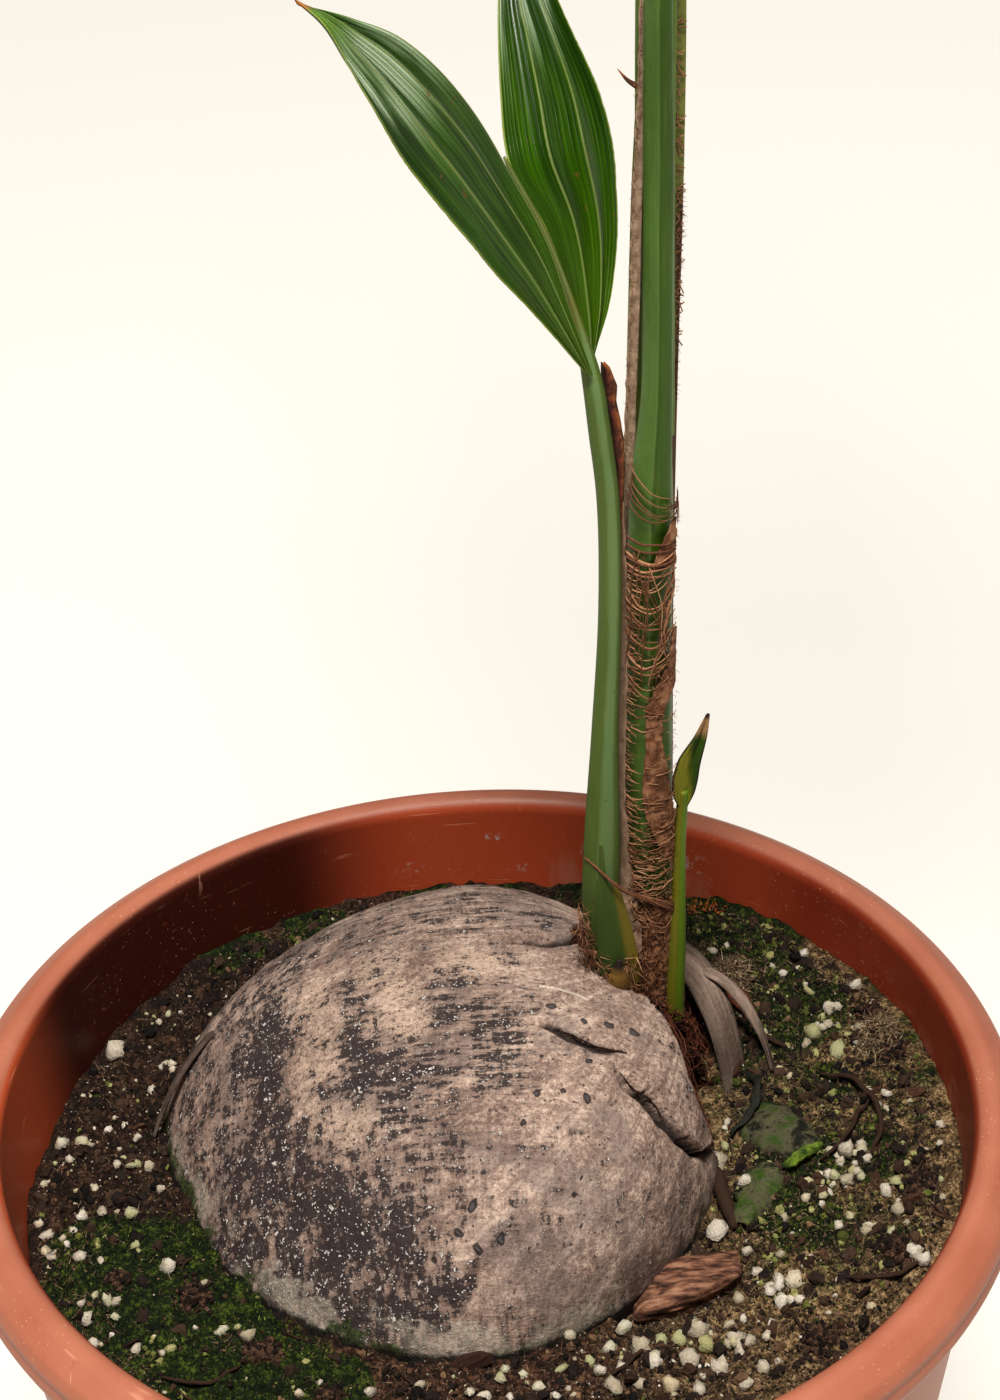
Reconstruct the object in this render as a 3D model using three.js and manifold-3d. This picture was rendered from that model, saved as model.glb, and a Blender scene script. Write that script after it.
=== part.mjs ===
// A young coconut palm in a low round pot.
// The sprouted nut lies half buried in potting mix. Its shoot leaves a torn mouth in the husk
// and carries one small split leaf on the left, two long leaf stalks that face each other,
// two thinner stalks and an unopened leaf between them, and a short sheath leaf on the right.
// Units are millimetres, +Z is up, and the origin is the centre of the pot's flat underside.
import * as THREE from 'three';
import { mergeVertices } from 'three/addons/utils/BufferGeometryUtils.js';
import Module from 'manifold-3d';

// Driving dimensions of the pot.
const POT_HEIGHT = 300;
const POT_SEGMENTS = 60;
const LIP_RADIUS = 192;
const LIP_ROLL = 7;
const LIP_Z = POT_HEIGHT - LIP_ROLL;
const BAND_RADIUS = 204.5;
const BAND_DROP = 13;
const BAND_TOP = 1.8;
const RIB_DEPTH = 1.3;
const OUTER_TAPER = THREE.MathUtils.degToRad(6.5);
const INNER_TAPER = THREE.MathUtils.degToRad(5.5);
const BODY_RADIUS = 192.5;
const FLOOR_THICKNESS = 4;
const FOOT_ROUND = 5;
const CLEAR = 0.3;

// Driving dimensions of the potting mix, with heights measured from the pot's lip.
const SOIL_LEVEL = -44;
const SOIL_RISE_RIGHT = 21;
const SOIL_RISE_BACK = 9;
const SOIL_RINGS = 11;
const SOIL_ROUGHNESS = 2.2;

// Driving dimensions of the husk: its long axis turns and tilts up towards the mouth.
const HUSK_CENTRE = new THREE.Vector3(-21, 24, LIP_Z - 66);
const HUSK_HALF = new THREE.Vector3(122, 118, 98);
const HUSK_TURN = THREE.MathUtils.degToRad(19);
const HUSK_TILT = THREE.MathUtils.degToRad(31);
const HUSK_RIDGE = 0.048;
const HUSK_RIDGE_TURN = THREE.MathUtils.degToRad(163);
const HUSK_RINGS = 20;
const HUSK_SEGMENTS = 32;
const MOUTH_TOWARD = new THREE.Vector3(93, 38, 64).normalize();
const MOUTH_ANGLE = THREE.MathUtils.degToRad(17.5);
const MOUTH_STRETCH = 0.29;
const MOUTH_TURN = THREE.MathUtils.degToRad(80);
const MOUTH_DEPTH = 36;
const MOUTH_RINGS = 5;

// Driving dimensions of the shoot.
const STALK_SIDES = 10;
const BACK_SHARE = 0.62;
const STEM_X = 68.8;
const STEM_TOP = 250;
const LOBE_CLEAR = 1.1;
const LEAF_ROWS = 12;
const LEAF_COLUMNS = 6;
const LEAF_FOLDS = 6;
const OPEN_LEAF_THICKNESS = 4.6;
const OPEN_LEAF_CROWN = 0.07;
const OPEN_LEAF_PLEAT = 1.6;
const FIRST_LEAF_THICKNESS = 1.9;
const FIRST_LEAF_CROWN = 0.1;
const FIRST_LEAF_PLEAT = 0.8;
const AXIS_STEPS = 40;
const RIB_STEPS = 6;
const RIB_GAP = 0.45;
const FOOT_LEAD = 14;
const BARK_SIDES = 9;
const BARK_ROUGHNESS = 0.22;

const wasm = await Module();
wasm.setup();

// A point given by its height above or below the pot's lip.
function at(x, y, height) {
  return new THREE.Vector3(x, y, LIP_Z + height);
}

// A repeatable value from 0 to 1 for a whole number.
function seeded(n) {
  const v = Math.sin(n * 127.1 + 11.7) * 43758.5453;
  return v - Math.floor(v);
}

// A geometry from a list of points and a list of faces of three or four corners.
function geometryOf(points, faces) {
  const index = [];
  for (const face of faces) {
    for (let i = 2; i < face.length; i += 1) {
      index.push(face[0], face[i - 1], face[i]);
    }
  }
  const geometry = new THREE.BufferGeometry();
  const numbers = points.flatMap((p) => p.toArray());
  geometry.setAttribute('position', new THREE.Float32BufferAttribute(numbers, 3));
  geometry.setIndex(index);
  geometry.computeVertexNormals();
  return geometry;
}

// A closed body over a stack of rings of equal count, with a fan at each end.
function loft(rings) {
  const sides = rings[0].length;
  const points = rings.flat();
  const faces = [];
  for (let r = 1; r < rings.length; r += 1) {
    for (let i = 0; i < sides; i += 1) {
      const j = (i + 1) % sides;
      const low = (r - 1) * sides;
      const high = r * sides;
      faces.push([low + i, low + j, high + j, high + i]);
    }
  }
  for (const [ring, start] of [[rings[0], 0], [rings[rings.length - 1], points.length - sides]]) {
    const middle = new THREE.Vector3();
    for (const p of ring) {
      middle.addScaledVector(p, 1 / sides);
    }
    points.push(middle);
    for (let i = 0; i < sides; i += 1) {
      const j = (i + 1) % sides;
      const pair = start === 0 ? [start + j, start + i] : [start + i, start + j];
      faces.push([points.length - 1, ...pair]);
    }
  }
  return geometryOf(points, faces);
}

// A closed thin sheet with one point and one face normal for each row and column.
function sheet(rows, columns, surface, thickness) {
  const grid = [];
  for (let r = 0; r <= rows; r += 1) {
    for (let c = 0; c <= columns; c += 1) {
      grid.push(surface(r / rows, c / columns));
    }
  }
  const cell = (r, c) => grid[r * (columns + 1) + c];
  const top = [];
  const bottom = [];
  for (let r = 0; r <= rows; r += 1) {
    for (let c = 0; c <= columns; c += 1) {
      const along = cell(Math.min(r + 1, rows), c).clone().sub(cell(Math.max(r - 1, 0), c));
      const across = cell(r, Math.min(c + 1, columns)).clone().sub(cell(r, Math.max(c - 1, 0)));
      const normal = along.cross(across).normalize();
      top.push(cell(r, c).clone().addScaledVector(normal, thickness / 2));
      bottom.push(cell(r, c).clone().addScaledVector(normal, -thickness / 2));
    }
  }
  const corner = (r, c) => r * (columns + 1) + c;
  const lower = (r, c) => top.length + corner(r, c);
  const faces = [];
  for (let r = 0; r < rows; r += 1) {
    for (let c = 0; c < columns; c += 1) {
      faces.push([corner(r, c), corner(r + 1, c), corner(r + 1, c + 1), corner(r, c + 1)]);
      faces.push([lower(r, c), lower(r, c + 1), lower(r + 1, c + 1), lower(r + 1, c)]);
    }
    faces.push([corner(r, 0), lower(r, 0), lower(r + 1, 0), corner(r + 1, 0)]);
    faces.push([corner(r + 1, columns), lower(r + 1, columns), lower(r, columns), corner(r, columns)]);
  }
  for (let c = 0; c < columns; c += 1) {
    faces.push([corner(0, c + 1), lower(0, c + 1), lower(0, c), corner(0, c)]);
    faces.push([corner(rows, c), lower(rows, c), lower(rows, c + 1), corner(rows, c + 1)]);
  }
  return geometryOf([...top, ...bottom], faces);
}

// A solid for joining and cutting, from a closed geometry.
function solidOf(geometry) {
  const bare = geometry.clone();
  bare.deleteAttribute('normal');
  bare.deleteAttribute('uv');
  const merged = mergeVertices(bare, 1e-4);
  const mesh = new wasm.Mesh({
    numProp: 3,
    vertProperties: new Float32Array(merged.attributes.position.array),
    triVerts: new Uint32Array(merged.index.array),
  });
  return new wasm.Manifold(mesh);
}

// A geometry from a joined or cut solid.
function geometryFrom(solid) {
  const mesh = solid.getMesh();
  const geometry = new THREE.BufferGeometry();
  const numbers = new Float32Array(mesh.vertProperties);
  geometry.setAttribute('position', new THREE.BufferAttribute(numbers, 3));
  geometry.setIndex(new THREE.BufferAttribute(new Uint32Array(mesh.triVerts), 1));
  geometry.computeVertexNormals();
  return geometry;
}

// The points of an arc about a centre in the pot's profile, from one angle to another.
function arc(radius, height, size, from, to, steps) {
  const points = [];
  for (let i = 0; i <= steps; i += 1) {
    const a = THREE.MathUtils.degToRad(from + ((to - from) * i) / steps);
    points.push(new THREE.Vector2(radius + size * Math.cos(a), height + size * Math.sin(a)));
  }
  return points;
}

const outerWallTop = LIP_Z - BAND_DROP;
const outerFootRadius = BODY_RADIUS - (outerWallTop - FOOT_ROUND) * Math.tan(OUTER_TAPER);

// The radius of the pot's inner wall at a height above its underside.
function innerRadius(z) {
  return LIP_RADIUS - LIP_ROLL - (LIP_Z - z) * Math.tan(INNER_TAPER);
}

// The pot is one closed ring of wall and floor, turned about its axis.
function potGeometry() {
  const ribTop = LIP_Z + BAND_TOP;
  const ribHeight = (BAND_DROP + BAND_TOP) / 2;
  const profile = [
    new THREE.Vector2(0, 0),
    new THREE.Vector2(outerFootRadius - FOOT_ROUND, 0),
    new THREE.Vector2(outerFootRadius, FOOT_ROUND),
    new THREE.Vector2(BODY_RADIUS, outerWallTop),
    new THREE.Vector2(BAND_RADIUS - RIB_DEPTH, outerWallTop),
    new THREE.Vector2(BAND_RADIUS, ribTop - ribHeight * 1.5),
    new THREE.Vector2(BAND_RADIUS - RIB_DEPTH, ribTop - ribHeight),
    new THREE.Vector2(BAND_RADIUS - 0.5, ribTop - ribHeight * 0.5),
    new THREE.Vector2(BAND_RADIUS - RIB_DEPTH - 1.5, ribTop),
    ...arc(LIP_RADIUS, LIP_Z, LIP_ROLL, 60, 180, 5),
    new THREE.Vector2(innerRadius(FLOOR_THICKNESS), FLOOR_THICKNESS),
    new THREE.Vector2(0, FLOOR_THICKNESS),
  ];
  const geometry = new THREE.LatheGeometry(profile, POT_SEGMENTS);
  geometry.rotateX(Math.PI / 2);
  return geometry;
}

// The height of the potting mix, which heaps up at the right and at the back.
function soilHeight(x, y) {
  const right = THREE.MathUtils.smoothstep(x + 0.35 * y, 40, 185) * SOIL_RISE_RIGHT;
  const back = THREE.MathUtils.smoothstep(y, 40, 150) * SOIL_RISE_BACK;
  const waves = Math.sin(x / 17 + 1.3) * Math.cos(y / 21) + 0.6 * Math.sin((x + y) / 11);
  return SOIL_LEVEL + Math.max(right, back) + waves * SOIL_ROUGHNESS * 0.5;
}

// The potting mix fills the pot to a gently uneven top, before the nut's bed is cut.
function soilGeometry() {
  const base = FLOOR_THICKNESS + CLEAR;
  const points = [];
  const faces = [];
  const edge = (z) => innerRadius(z) - CLEAR * 1.5;
  const rings = [];
  const ringAt = (place) => {
    const start = points.length;
    for (let i = 0; i < POT_SEGMENTS; i += 1) {
      const a = (i / POT_SEGMENTS) * Math.PI * 2;
      points.push(place(Math.sin(a), Math.cos(a), i));
    }
    rings.push(start);
  };
  points.push(new THREE.Vector3(0, 0, base));
  ringAt((s, c) => new THREE.Vector3(s * edge(base), c * edge(base), base));
  for (let r = SOIL_RINGS; r >= 1; r -= 1) {
    ringAt((s, c, i) => {
      const rough = r === SOIL_RINGS ? 0 : (seeded(r * 97 + i) - 0.5) * SOIL_ROUGHNESS;
      const reach = edge(LIP_Z + SOIL_LEVEL) * (r / SOIL_RINGS);
      const z = LIP_Z + soilHeight(s * reach, c * reach) + rough;
      const wide = r === SOIL_RINGS ? edge(z) : reach;
      return new THREE.Vector3(s * wide, c * wide, z);
    });
  }
  points.push(at(0, 0, soilHeight(0, 0)));
  for (let k = 0; k < POT_SEGMENTS; k += 1) {
    const n = (k + 1) % POT_SEGMENTS;
    faces.push([0, rings[0] + k, rings[0] + n]);
    for (let r = 1; r < rings.length; r += 1) {
      faces.push([rings[r - 1] + k, rings[r] + k, rings[r] + n, rings[r - 1] + n]);
    }
    faces.push([points.length - 1, rings[rings.length - 1] + n, rings[rings.length - 1] + k]);
  }
  return geometryOf(points, faces);
}

// The husk's own axes: along the nut, across it and through it.
const huskFrame = new THREE.Matrix4().makeRotationZ(HUSK_TURN)
  .multiply(new THREE.Matrix4().makeRotationY(-HUSK_TILT));
const huskFrameBack = huskFrame.clone().transpose();

// The reach of the husk from its centre in a direction, three-sided about its long axis.
function huskReach(toward) {
  const own = toward.clone().applyMatrix4(huskFrameBack);
  const plain = 1 / Math.hypot(own.x / HUSK_HALF.x, own.y / HUSK_HALF.y, own.z / HUSK_HALF.z);
  const side = Math.hypot(own.y, own.z);
  return plain * (1 + HUSK_RIDGE * side * Math.cos(3 * (Math.atan2(own.z, own.y) - HUSK_RIDGE_TURN)));
}

// The husk's skin, rings about the line to its mouth. A grown one with no mouth makes the cutter.
function huskGeometry(grow, mouthDepth) {
  const skyward = new THREE.Vector3(0, 0, 1);
  const sideways = new THREE.Vector3().crossVectors(skyward, MOUTH_TOWARD).normalize();
  const upward = new THREE.Vector3().crossVectors(MOUTH_TOWARD, sideways);
  const mouthRim = (turn) => MOUTH_ANGLE * (1 + MOUTH_STRETCH * Math.cos(2 * (turn - MOUTH_TURN)));
  const place = (angle, turn, reach) => MOUTH_TOWARD.clone().multiplyScalar(Math.cos(angle) * reach)
    .addScaledVector(sideways, Math.sin(angle) * Math.cos(turn) * reach)
    .addScaledVector(upward, Math.sin(angle) * Math.sin(turn) * reach)
    .add(HUSK_CENTRE);
  const unit = (angle, turn) => place(angle, turn, 1).sub(HUSK_CENTRE).normalize();
  const points = [];
  const faces = [];
  const ringStarts = [];
  const addRing = (pick) => {
    ringStarts.push(points.length);
    for (let i = 0; i < HUSK_SEGMENTS; i += 1) {
      points.push(pick((i / HUSK_SEGMENTS) * Math.PI * 2));
    }
  };
  const floor = huskReach(MOUTH_TOWARD) - mouthDepth + grow;
  points.push(MOUTH_TOWARD.clone().multiplyScalar(floor).add(HUSK_CENTRE));
  for (let r = 1; r < MOUTH_RINGS; r += 1) {
    const share = r / MOUTH_RINGS;
    addRing((turn) => {
      const angle = mouthRim(turn) * (0.25 + 0.7 * share);
      const rim = huskReach(unit(angle, turn));
      const sink = mouthDepth * (1 - Math.pow(Math.max(0, (share - 0.4) / 0.6), 2.2));
      return place(angle, turn, rim - sink + grow);
    });
  }
  for (let r = 0; r < HUSK_RINGS; r += 1) {
    const share = r / HUSK_RINGS;
    addRing((turn) => {
      const angle = mouthRim(turn) + (Math.PI - mouthRim(turn)) * share;
      return place(angle, turn, huskReach(unit(angle, turn)) + grow);
    });
  }
  points.push(place(Math.PI, 0, huskReach(unit(Math.PI, 0)) + grow));
  const last = ringStarts[ringStarts.length - 1];
  for (let k = 0; k < HUSK_SEGMENTS; k += 1) {
    const n = (k + 1) % HUSK_SEGMENTS;
    faces.push([0, ringStarts[0] + k, ringStarts[0] + n]);
    for (let r = 1; r < ringStarts.length; r += 1) {
      faces.push([ringStarts[r - 1] + k, ringStarts[r] + k, ringStarts[r] + n, ringStarts[r - 1] + n]);
    }
    faces.push([points.length - 1, last + n, last + k]);
  }
  return geometryOf(points, faces);
}

// A torn strip of husk: a thin sheet along a curve, curled across its width.
function stripGeometry({ path, facing, width, taper, curl, thickness }, grow) {
  const curve = new THREE.CubicBezierCurve3(...path);
  const overrun = grow / curve.getLength();
  return sheet(7, 3, (part, q) => {
    const s = part + (2 * part - 1) * overrun;
    const p = curve.getPoint(s);
    const along = curve.getTangent(part);
    const across = new THREE.Vector3().crossVectors(along, facing).normalize();
    const out = new THREE.Vector3().crossVectors(across, along).normalize();
    const swell = (1 - taper * part * part) * (0.75 + 0.35 * Math.sin(Math.PI * part));
    const half = (width / 2) * swell + grow;
    const v = 2 * q - 1;
    return p.addScaledVector(across, v * half).addScaledVector(out, -curl * v * v);
  }, thickness + 2 * grow);
}

// The section of a leaf stalk: a rounded back and a flat or hollow side towards the stem.
function stalkRing({ centre, width, depth, channel }, along, toward) {
  const side = new THREE.Vector3().crossVectors(toward, along).normalize();
  const out = new THREE.Vector3().crossVectors(along, side).normalize();
  const ring = [];
  for (let i = 0; i < STALK_SIDES; i += 1) {
    const t = (i / STALK_SIDES) * Math.PI * 2;
    const back = Math.sin(t) * depth * BACK_SHARE;
    const inner = Math.sin(t) * (depth * (1 - BACK_SHARE) - channel);
    const n = Math.sin(t) > 0 ? back : inner;
    ring.push(centre.clone().addScaledVector(side, (Math.cos(t) * width) / 2).addScaledVector(out, n));
  }
  return ring;
}

// A leaf stalk through its stations, each a place, a width, a depth and a channel.
function stalkGeometry(stations, turn) {
  const toward = new THREE.Vector3(Math.cos(turn), Math.sin(turn), 0);
  const last = stations.length - 1;
  return loft(stations.map((station, i) => {
    const next = stations[Math.min(i + 1, last)].centre;
    const before = stations[Math.max(i - 1, 0)].centre;
    return stalkRing(station, next.clone().sub(before).normalize(), toward);
  }));
}

// Stations written as [x, y, height, width, depth, channel].
function stations(rows) {
  return rows.map(([x, y, h, width, depth, channel]) => ({ centre: at(x, y, h), width, depth, channel }));
}

// One lobe of a leaf between its inner and outer edges, crowned and pleated along its veins.
function lobeGeometry({ inner, outer, hand, crown, pleat, folds, thickness }) {
  return sheet(LEAF_ROWS, LEAF_COLUMNS, (s, q) => {
    const ahead = Math.min(s + 0.02, 1);
    const behind = Math.max(s - 0.02, 0);
    const along = inner(ahead).add(outer(ahead)).sub(inner(behind)).sub(outer(behind)).normalize();
    const across = outer(s).sub(inner(s));
    const width = across.length();
    const normal = along.cross(across).normalize().multiplyScalar(hand);
    const wave = (Math.cos(q * Math.PI * folds) - 1) * pleat * Math.min(1, width / 20);
    const rise = crown * width * 4 * q * (1 - q) + wave;
    return inner(s).addScaledVector(across, q).addScaledVector(normal, rise);
  }, thickness);
}

// A leaf's axis rises from its stalk and bends over: its place at a distance along it.
function leafAxis({ foot, turn, lean, bend, length }) {
  const outward = new THREE.Vector3(Math.cos(turn), Math.sin(turn), 0);
  const places = [foot.clone()];
  for (let i = 0; i < AXIS_STEPS; i += 1) {
    const tilt = lean + (bend - lean) * Math.pow((i + 0.5) / AXIS_STEPS, 1.4);
    const step = new THREE.Vector3(0, 0, Math.cos(tilt)).addScaledVector(outward, Math.sin(tilt));
    places.push(places[i].clone().addScaledVector(step, length / AXIS_STEPS));
  }
  return (s) => {
    const f = THREE.MathUtils.clamp(s, 0, 1) * AXIS_STEPS;
    const i = Math.min(Math.floor(f), AXIS_STEPS - 1);
    return places[i].clone().lerp(places[i + 1], f - i);
  };
}

// The width of a leaf's rib at a distance along the leaf.
function ribWidth(leaf, s) {
  return leaf.rib * (1 - 0.62 * Math.min(1, s / leaf.fork));
}

// The inner and outer edges of one lobe of a split leaf, on the left (+1) or the right (-1).
function lobeEdges(leaf, hand) {
  const axis = leafAxis(leaf);
  const side = new THREE.Vector3(-Math.sin(leaf.turn), Math.cos(leaf.turn), 0).multiplyScalar(hand);
  const off = (s, reach) => {
    const sag = leaf.droop * reach * (0.5 + 0.5 * s);
    return axis(s).addScaledVector(side, reach).add(new THREE.Vector3(0, 0, -sag));
  };
  const near = (s) => {
    const spread = leaf.spread * Math.pow(Math.max(0, s - leaf.fork) / (1 - leaf.fork), 1.25);
    return ribWidth(leaf, s) / 2 + LOBE_CLEAR + spread;
  };
  const wide = (s) => 3 + leaf.width * Math.pow(Math.sin(Math.PI * Math.pow(s, 0.72)), 0.85);
  return { inner: (s) => off(s, near(s)), outer: (s) => off(s, near(s) + wide(s)) };
}

const group = new THREE.Group();

// Adds one named piece with its own finish.
function add(name, geometry, colour, roughness) {
  const material = new THREE.MeshStandardMaterial({ color: colour, roughness, metalness: 0 });
  const mesh = new THREE.Mesh(geometry, material);
  mesh.name = name;
  group.add(mesh);
}

const TERRACOTTA = 0xc0694a;
const SOIL_BROWN = 0x2e241c;
const HUSK_TAN = 0x9a8474;
const BARK_RED = 0x6e4330;
const STALK_GREEN = 0x4a6b2c;
const LEAF_GREEN = 0x2f5a1c;
const FIBRE_BROWN = 0x7a5a45;
const DRY_RED = 0x5c2a18;

add('pot', potGeometry(), TERRACOTTA, 0.5);

// Two strips of husk are torn loose: one curls down behind the mouth, one lies at the far end.
const HUSK_STRIPS = [
  {
    path: [at(62, 92, -12), at(84, 86, 14), at(99, 66, -6), at(102, 42, -34)],
    facing: new THREE.Vector3(0.35, -0.6, 0.72),
    width: 17,
    taper: 0.15,
    curl: 2.4,
    thickness: 2.4,
  },
  {
    path: [at(-94, 66, -8), at(-112, 58, -8), at(-128, 42, -22), at(-134, 24, -38)],
    facing: new THREE.Vector3(-0.7, 0.1, 0.7),
    width: 13,
    taper: 0.6,
    curl: 1,
    thickness: 1.8,
  },
];
let husk = solidOf(huskGeometry(0, MOUTH_DEPTH));
let huskBed = solidOf(huskGeometry(CLEAR * 3, 0));
let huskClear = solidOf(huskGeometry(CLEAR, MOUTH_DEPTH));
for (const strip of HUSK_STRIPS) {
  husk = husk.add(solidOf(stripGeometry(strip, 0)));
  huskBed = huskBed.add(solidOf(stripGeometry(strip, CLEAR * 2)));
  huskClear = huskClear.add(solidOf(stripGeometry(strip, CLEAR)));
}
add('husk', geometryFrom(husk), HUSK_TAN, 0.85);

// A shoot piece ends just clear of the husk that it grows from.
function rooted(geometry) {
  const pieces = solidOf(geometry).subtract(huskClear).decompose();
  pieces.sort((a, b) => b.volume() - a.volume());
  return geometryFrom(pieces[0]);
}

// A piece of bark lies against the nut, pressed into the mix.
function barkGeometry(grow) {
  const rows = [
    [50, -68, -52, 4, 6],
    [60, -66, -49, 17, 14],
    [76, -61, -47, 18, 15],
    [88, -56, -46, 14, 11],
    [94, -54, -46, 4, 5],
  ];
  return loft(rows.map(([x, y, h, width, tall], r) => {
    const ring = [];
    for (let i = 0; i < BARK_SIDES; i += 1) {
      const t = (i / BARK_SIDES) * Math.PI * 2;
      const rough = 1 + BARK_ROUGHNESS * (seeded(r * 13 + i) - 0.5);
      const p = at(x, y, h);
      p.y += Math.cos(t) * (width * 0.5 * rough + grow);
      p.z += Math.sin(t) * (tall * 0.5 * rough + grow);
      p.x += (r === 0 ? -grow : 0) + (r === rows.length - 1 ? grow : 0);
      ring.push(p);
    }
    return ring;
  }));
}
add('bark_chip', rooted(barkGeometry(0)), BARK_RED, 0.9);

const soil = solidOf(soilGeometry()).subtract(huskBed).subtract(solidOf(barkGeometry(2 * CLEAR)));
add('soil', geometryFrom(soil), SOIL_BROWN, 0.95);

// The stem is short and hidden: it carries the inner leaves between the two outer stalks.
add('stem', rooted(stalkGeometry(stations([
  [66, 56.6, -60, 9, 9, 0],
  [67, 56.6, 20, 11, 7.6, 0],
  [STEM_X, 56.6, 120, 11, 7.6, 0],
  [STEM_X, 56.6, STEM_TOP, 10, 7.6, 0],
]), -Math.PI / 2)), STALK_GREEN, 0.6);

// The open leaves that rise past the first one, by the way they face and their size.
const OPEN_LEAVES = [
  {
    name: 'leaf_2',
    stalk: [
      [67, 51, -60, 9, 8, 3],
      [66.8, 51, 10, 16.4, 13.2, 4.5],
      [65.6, 51, 50, 18.4, 14, 5.3],
      [65.6, 51, 120, 18.2, 14, 5.3],
      [66, 51, 190, 16.4, 12.5, 4.7],
      [66.8, 51, 238, 14.6, 11, 4.2],
      [68.6, 51, 270, 11.2, 9.5, 3.6],
      [69, 51, 350, 10.2, 8.6, 3.2],
      [68.8, 50.6, 408, 9.3, 8, 3],
      [69.4, 46, 520, 8.6, 7.4, 2],
    ],
    foot: at(70.4, 27, 640),
    turn: -Math.PI * 0.46,
    stalkTurn: -Math.PI / 2,
    lean: 0.2,
    bend: 1.5,
    length: 470,
    width: 62,
    fork: 0.55,
    spread: 66,
    droop: 0.35,
    rib: 7.4,
  },
  {
    name: 'leaf_3',
    stalk: [
      [66, 64, -60, 9, 8, 3],
      [67, 64, 10, 15, 12, 4.5],
      [66.4, 64, 60, 19, 13, 4.9],
      [66.6, 64, 190, 18.6, 12, 4.5],
      [68.4, 64, 270, 17, 10.5, 4],
      [70.2, 64, 350, 16.6, 9.6, 3.6],
      [70.6, 64.4, 408, 16.4, 9, 3.4],
      [71, 69, 540, 11, 8, 2.5],
    ],
    foot: at(72, 92, 680),
    turn: Math.PI * 0.53,
    stalkTurn: Math.PI / 2,
    lean: 0.24,
    bend: 1.62,
    length: 500,
    width: 66,
    fork: 0.55,
    spread: 74,
    droop: 0.4,
    rib: 8,
  },
  {
    name: 'leaf_4',
    stalk: [
      [71.3, 57.5, STEM_TOP + CLEAR, 4.6, 6.6, 0.6],
      [71.3, 57.5, 408, 4.6, 6.4, 0.6],
      [75, 58, 560, 5.6, 6, 0.6],
    ],
    foot: at(90, 59, 700),
    turn: 0.06,
    stalkTurn: 0.06,
    lean: 0.22,
    bend: 1.35,
    length: 440,
    width: 56,
    fork: 0.58,
    spread: 56,
    droop: 0.3,
    rib: 6.4,
  },
  {
    name: 'leaf_5',
    stalk: [
      [61.2, 57.5, STEM_TOP + CLEAR, 6, 4, 0.3],
      [62, 57.5, 408, 5.6, 3.2, 0.3],
      [57, 58, 560, 5.4, 4.6, 0.4],
    ],
    foot: at(40, 59, 690),
    turn: Math.PI * 1.05,
    stalkTurn: Math.PI,
    lean: 0.2,
    bend: 1.2,
    length: 400,
    width: 50,
    fork: 0.6,
    spread: 48,
    droop: 0.28,
    rib: 6,
  },
];
for (const leaf of OPEN_LEAVES) {
  const axis = leafAxis(leaf);
  const section = (centre, width) => ({ centre, width, depth: width * 0.95, channel: 0.5 });
  const onward = axis(1 / AXIS_STEPS).sub(leaf.foot).normalize();
  const lead = leaf.foot.clone().addScaledVector(onward, -FOOT_LEAD);
  const path = [...stations(leaf.stalk), section(lead, leaf.rib), section(leaf.foot, leaf.rib)];
  const stalk = rooted(stalkGeometry(path, leaf.stalkTurn));
  add(leaf.name.replace('leaf', 'stalk'), stalk, STALK_GREEN, 0.5);
  const rib = [];
  for (let i = 0; i <= RIB_STEPS; i += 1) {
    const s = Math.max(RIB_GAP / leaf.length, (leaf.fork * i) / RIB_STEPS);
    rib.push(section(axis(s), ribWidth(leaf, s)));
  }
  add(leaf.name.replace('leaf', 'rib'), stalkGeometry(rib, leaf.stalkTurn), STALK_GREEN, 0.5);
  for (const [hand, side] of [[1, 'left'], [-1, 'right']]) {
    const lobe = {
      ...lobeEdges(leaf, hand),
      hand,
      crown: OPEN_LEAF_CROWN,
      pleat: OPEN_LEAF_PLEAT,
      folds: LEAF_FOLDS,
      thickness: OPEN_LEAF_THICKNESS,
    };
    add(`${leaf.name}_${side}`, lobeGeometry(lobe), LEAF_GREEN, 0.4);
  }
}

// The youngest leaf is still a folded spear.
add('spear_leaf', stalkGeometry(stations([
  [66.1, 57.5, STEM_TOP + CLEAR, 4.6, 6.2, 0],
  [66.1, 57.5, 408, 4.6, 6.2, 0],
  [65, 57.6, 640, 7, 8, 0],
  [62, 58, 860, 9, 9, 0],
  [57, 58.5, 1000, 6, 6, 0],
  [53, 59, 1075, 1.2, 1.2, 0],
]), -Math.PI / 2), LEAF_GREEN, 0.45);

// The first leaf is small and stands on the left on its own bowed stalk.
add('stalk_1', rooted(stalkGeometry(stations([
  [60, 46, -20, 6, 6, 1],
  [53, 43.2, 16, 8, 10, 0.4],
  [50.6, 43.4, 32, 10, 13, 0.4],
  [48.8, 43.4, 53, 12, 14.6, 0.4],
  [48, 42, 82, 10, 12.4, 0.4],
  [50, 41, 138, 8.4, 9.6, 1],
  [52.2, 41, 190, 7.6, 8.2, 1.6],
  [51.6, 41, 235, 7.4, 7.4, 1.4],
  [48.6, 41, 263, 7, 7, 1],
  [46.4, 41, 281, 6, 6.4, 0.6],
  [41.6, 42.6, 304, 3.6, 3.6, 0.4],
  [31.4, 44.4, 334, 2.6, 2.6, 0.3],
  [21.4, 44, 355, 1.6, 1.6, 0.1],
]), Math.PI)), STALK_GREEN, 0.5);

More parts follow.
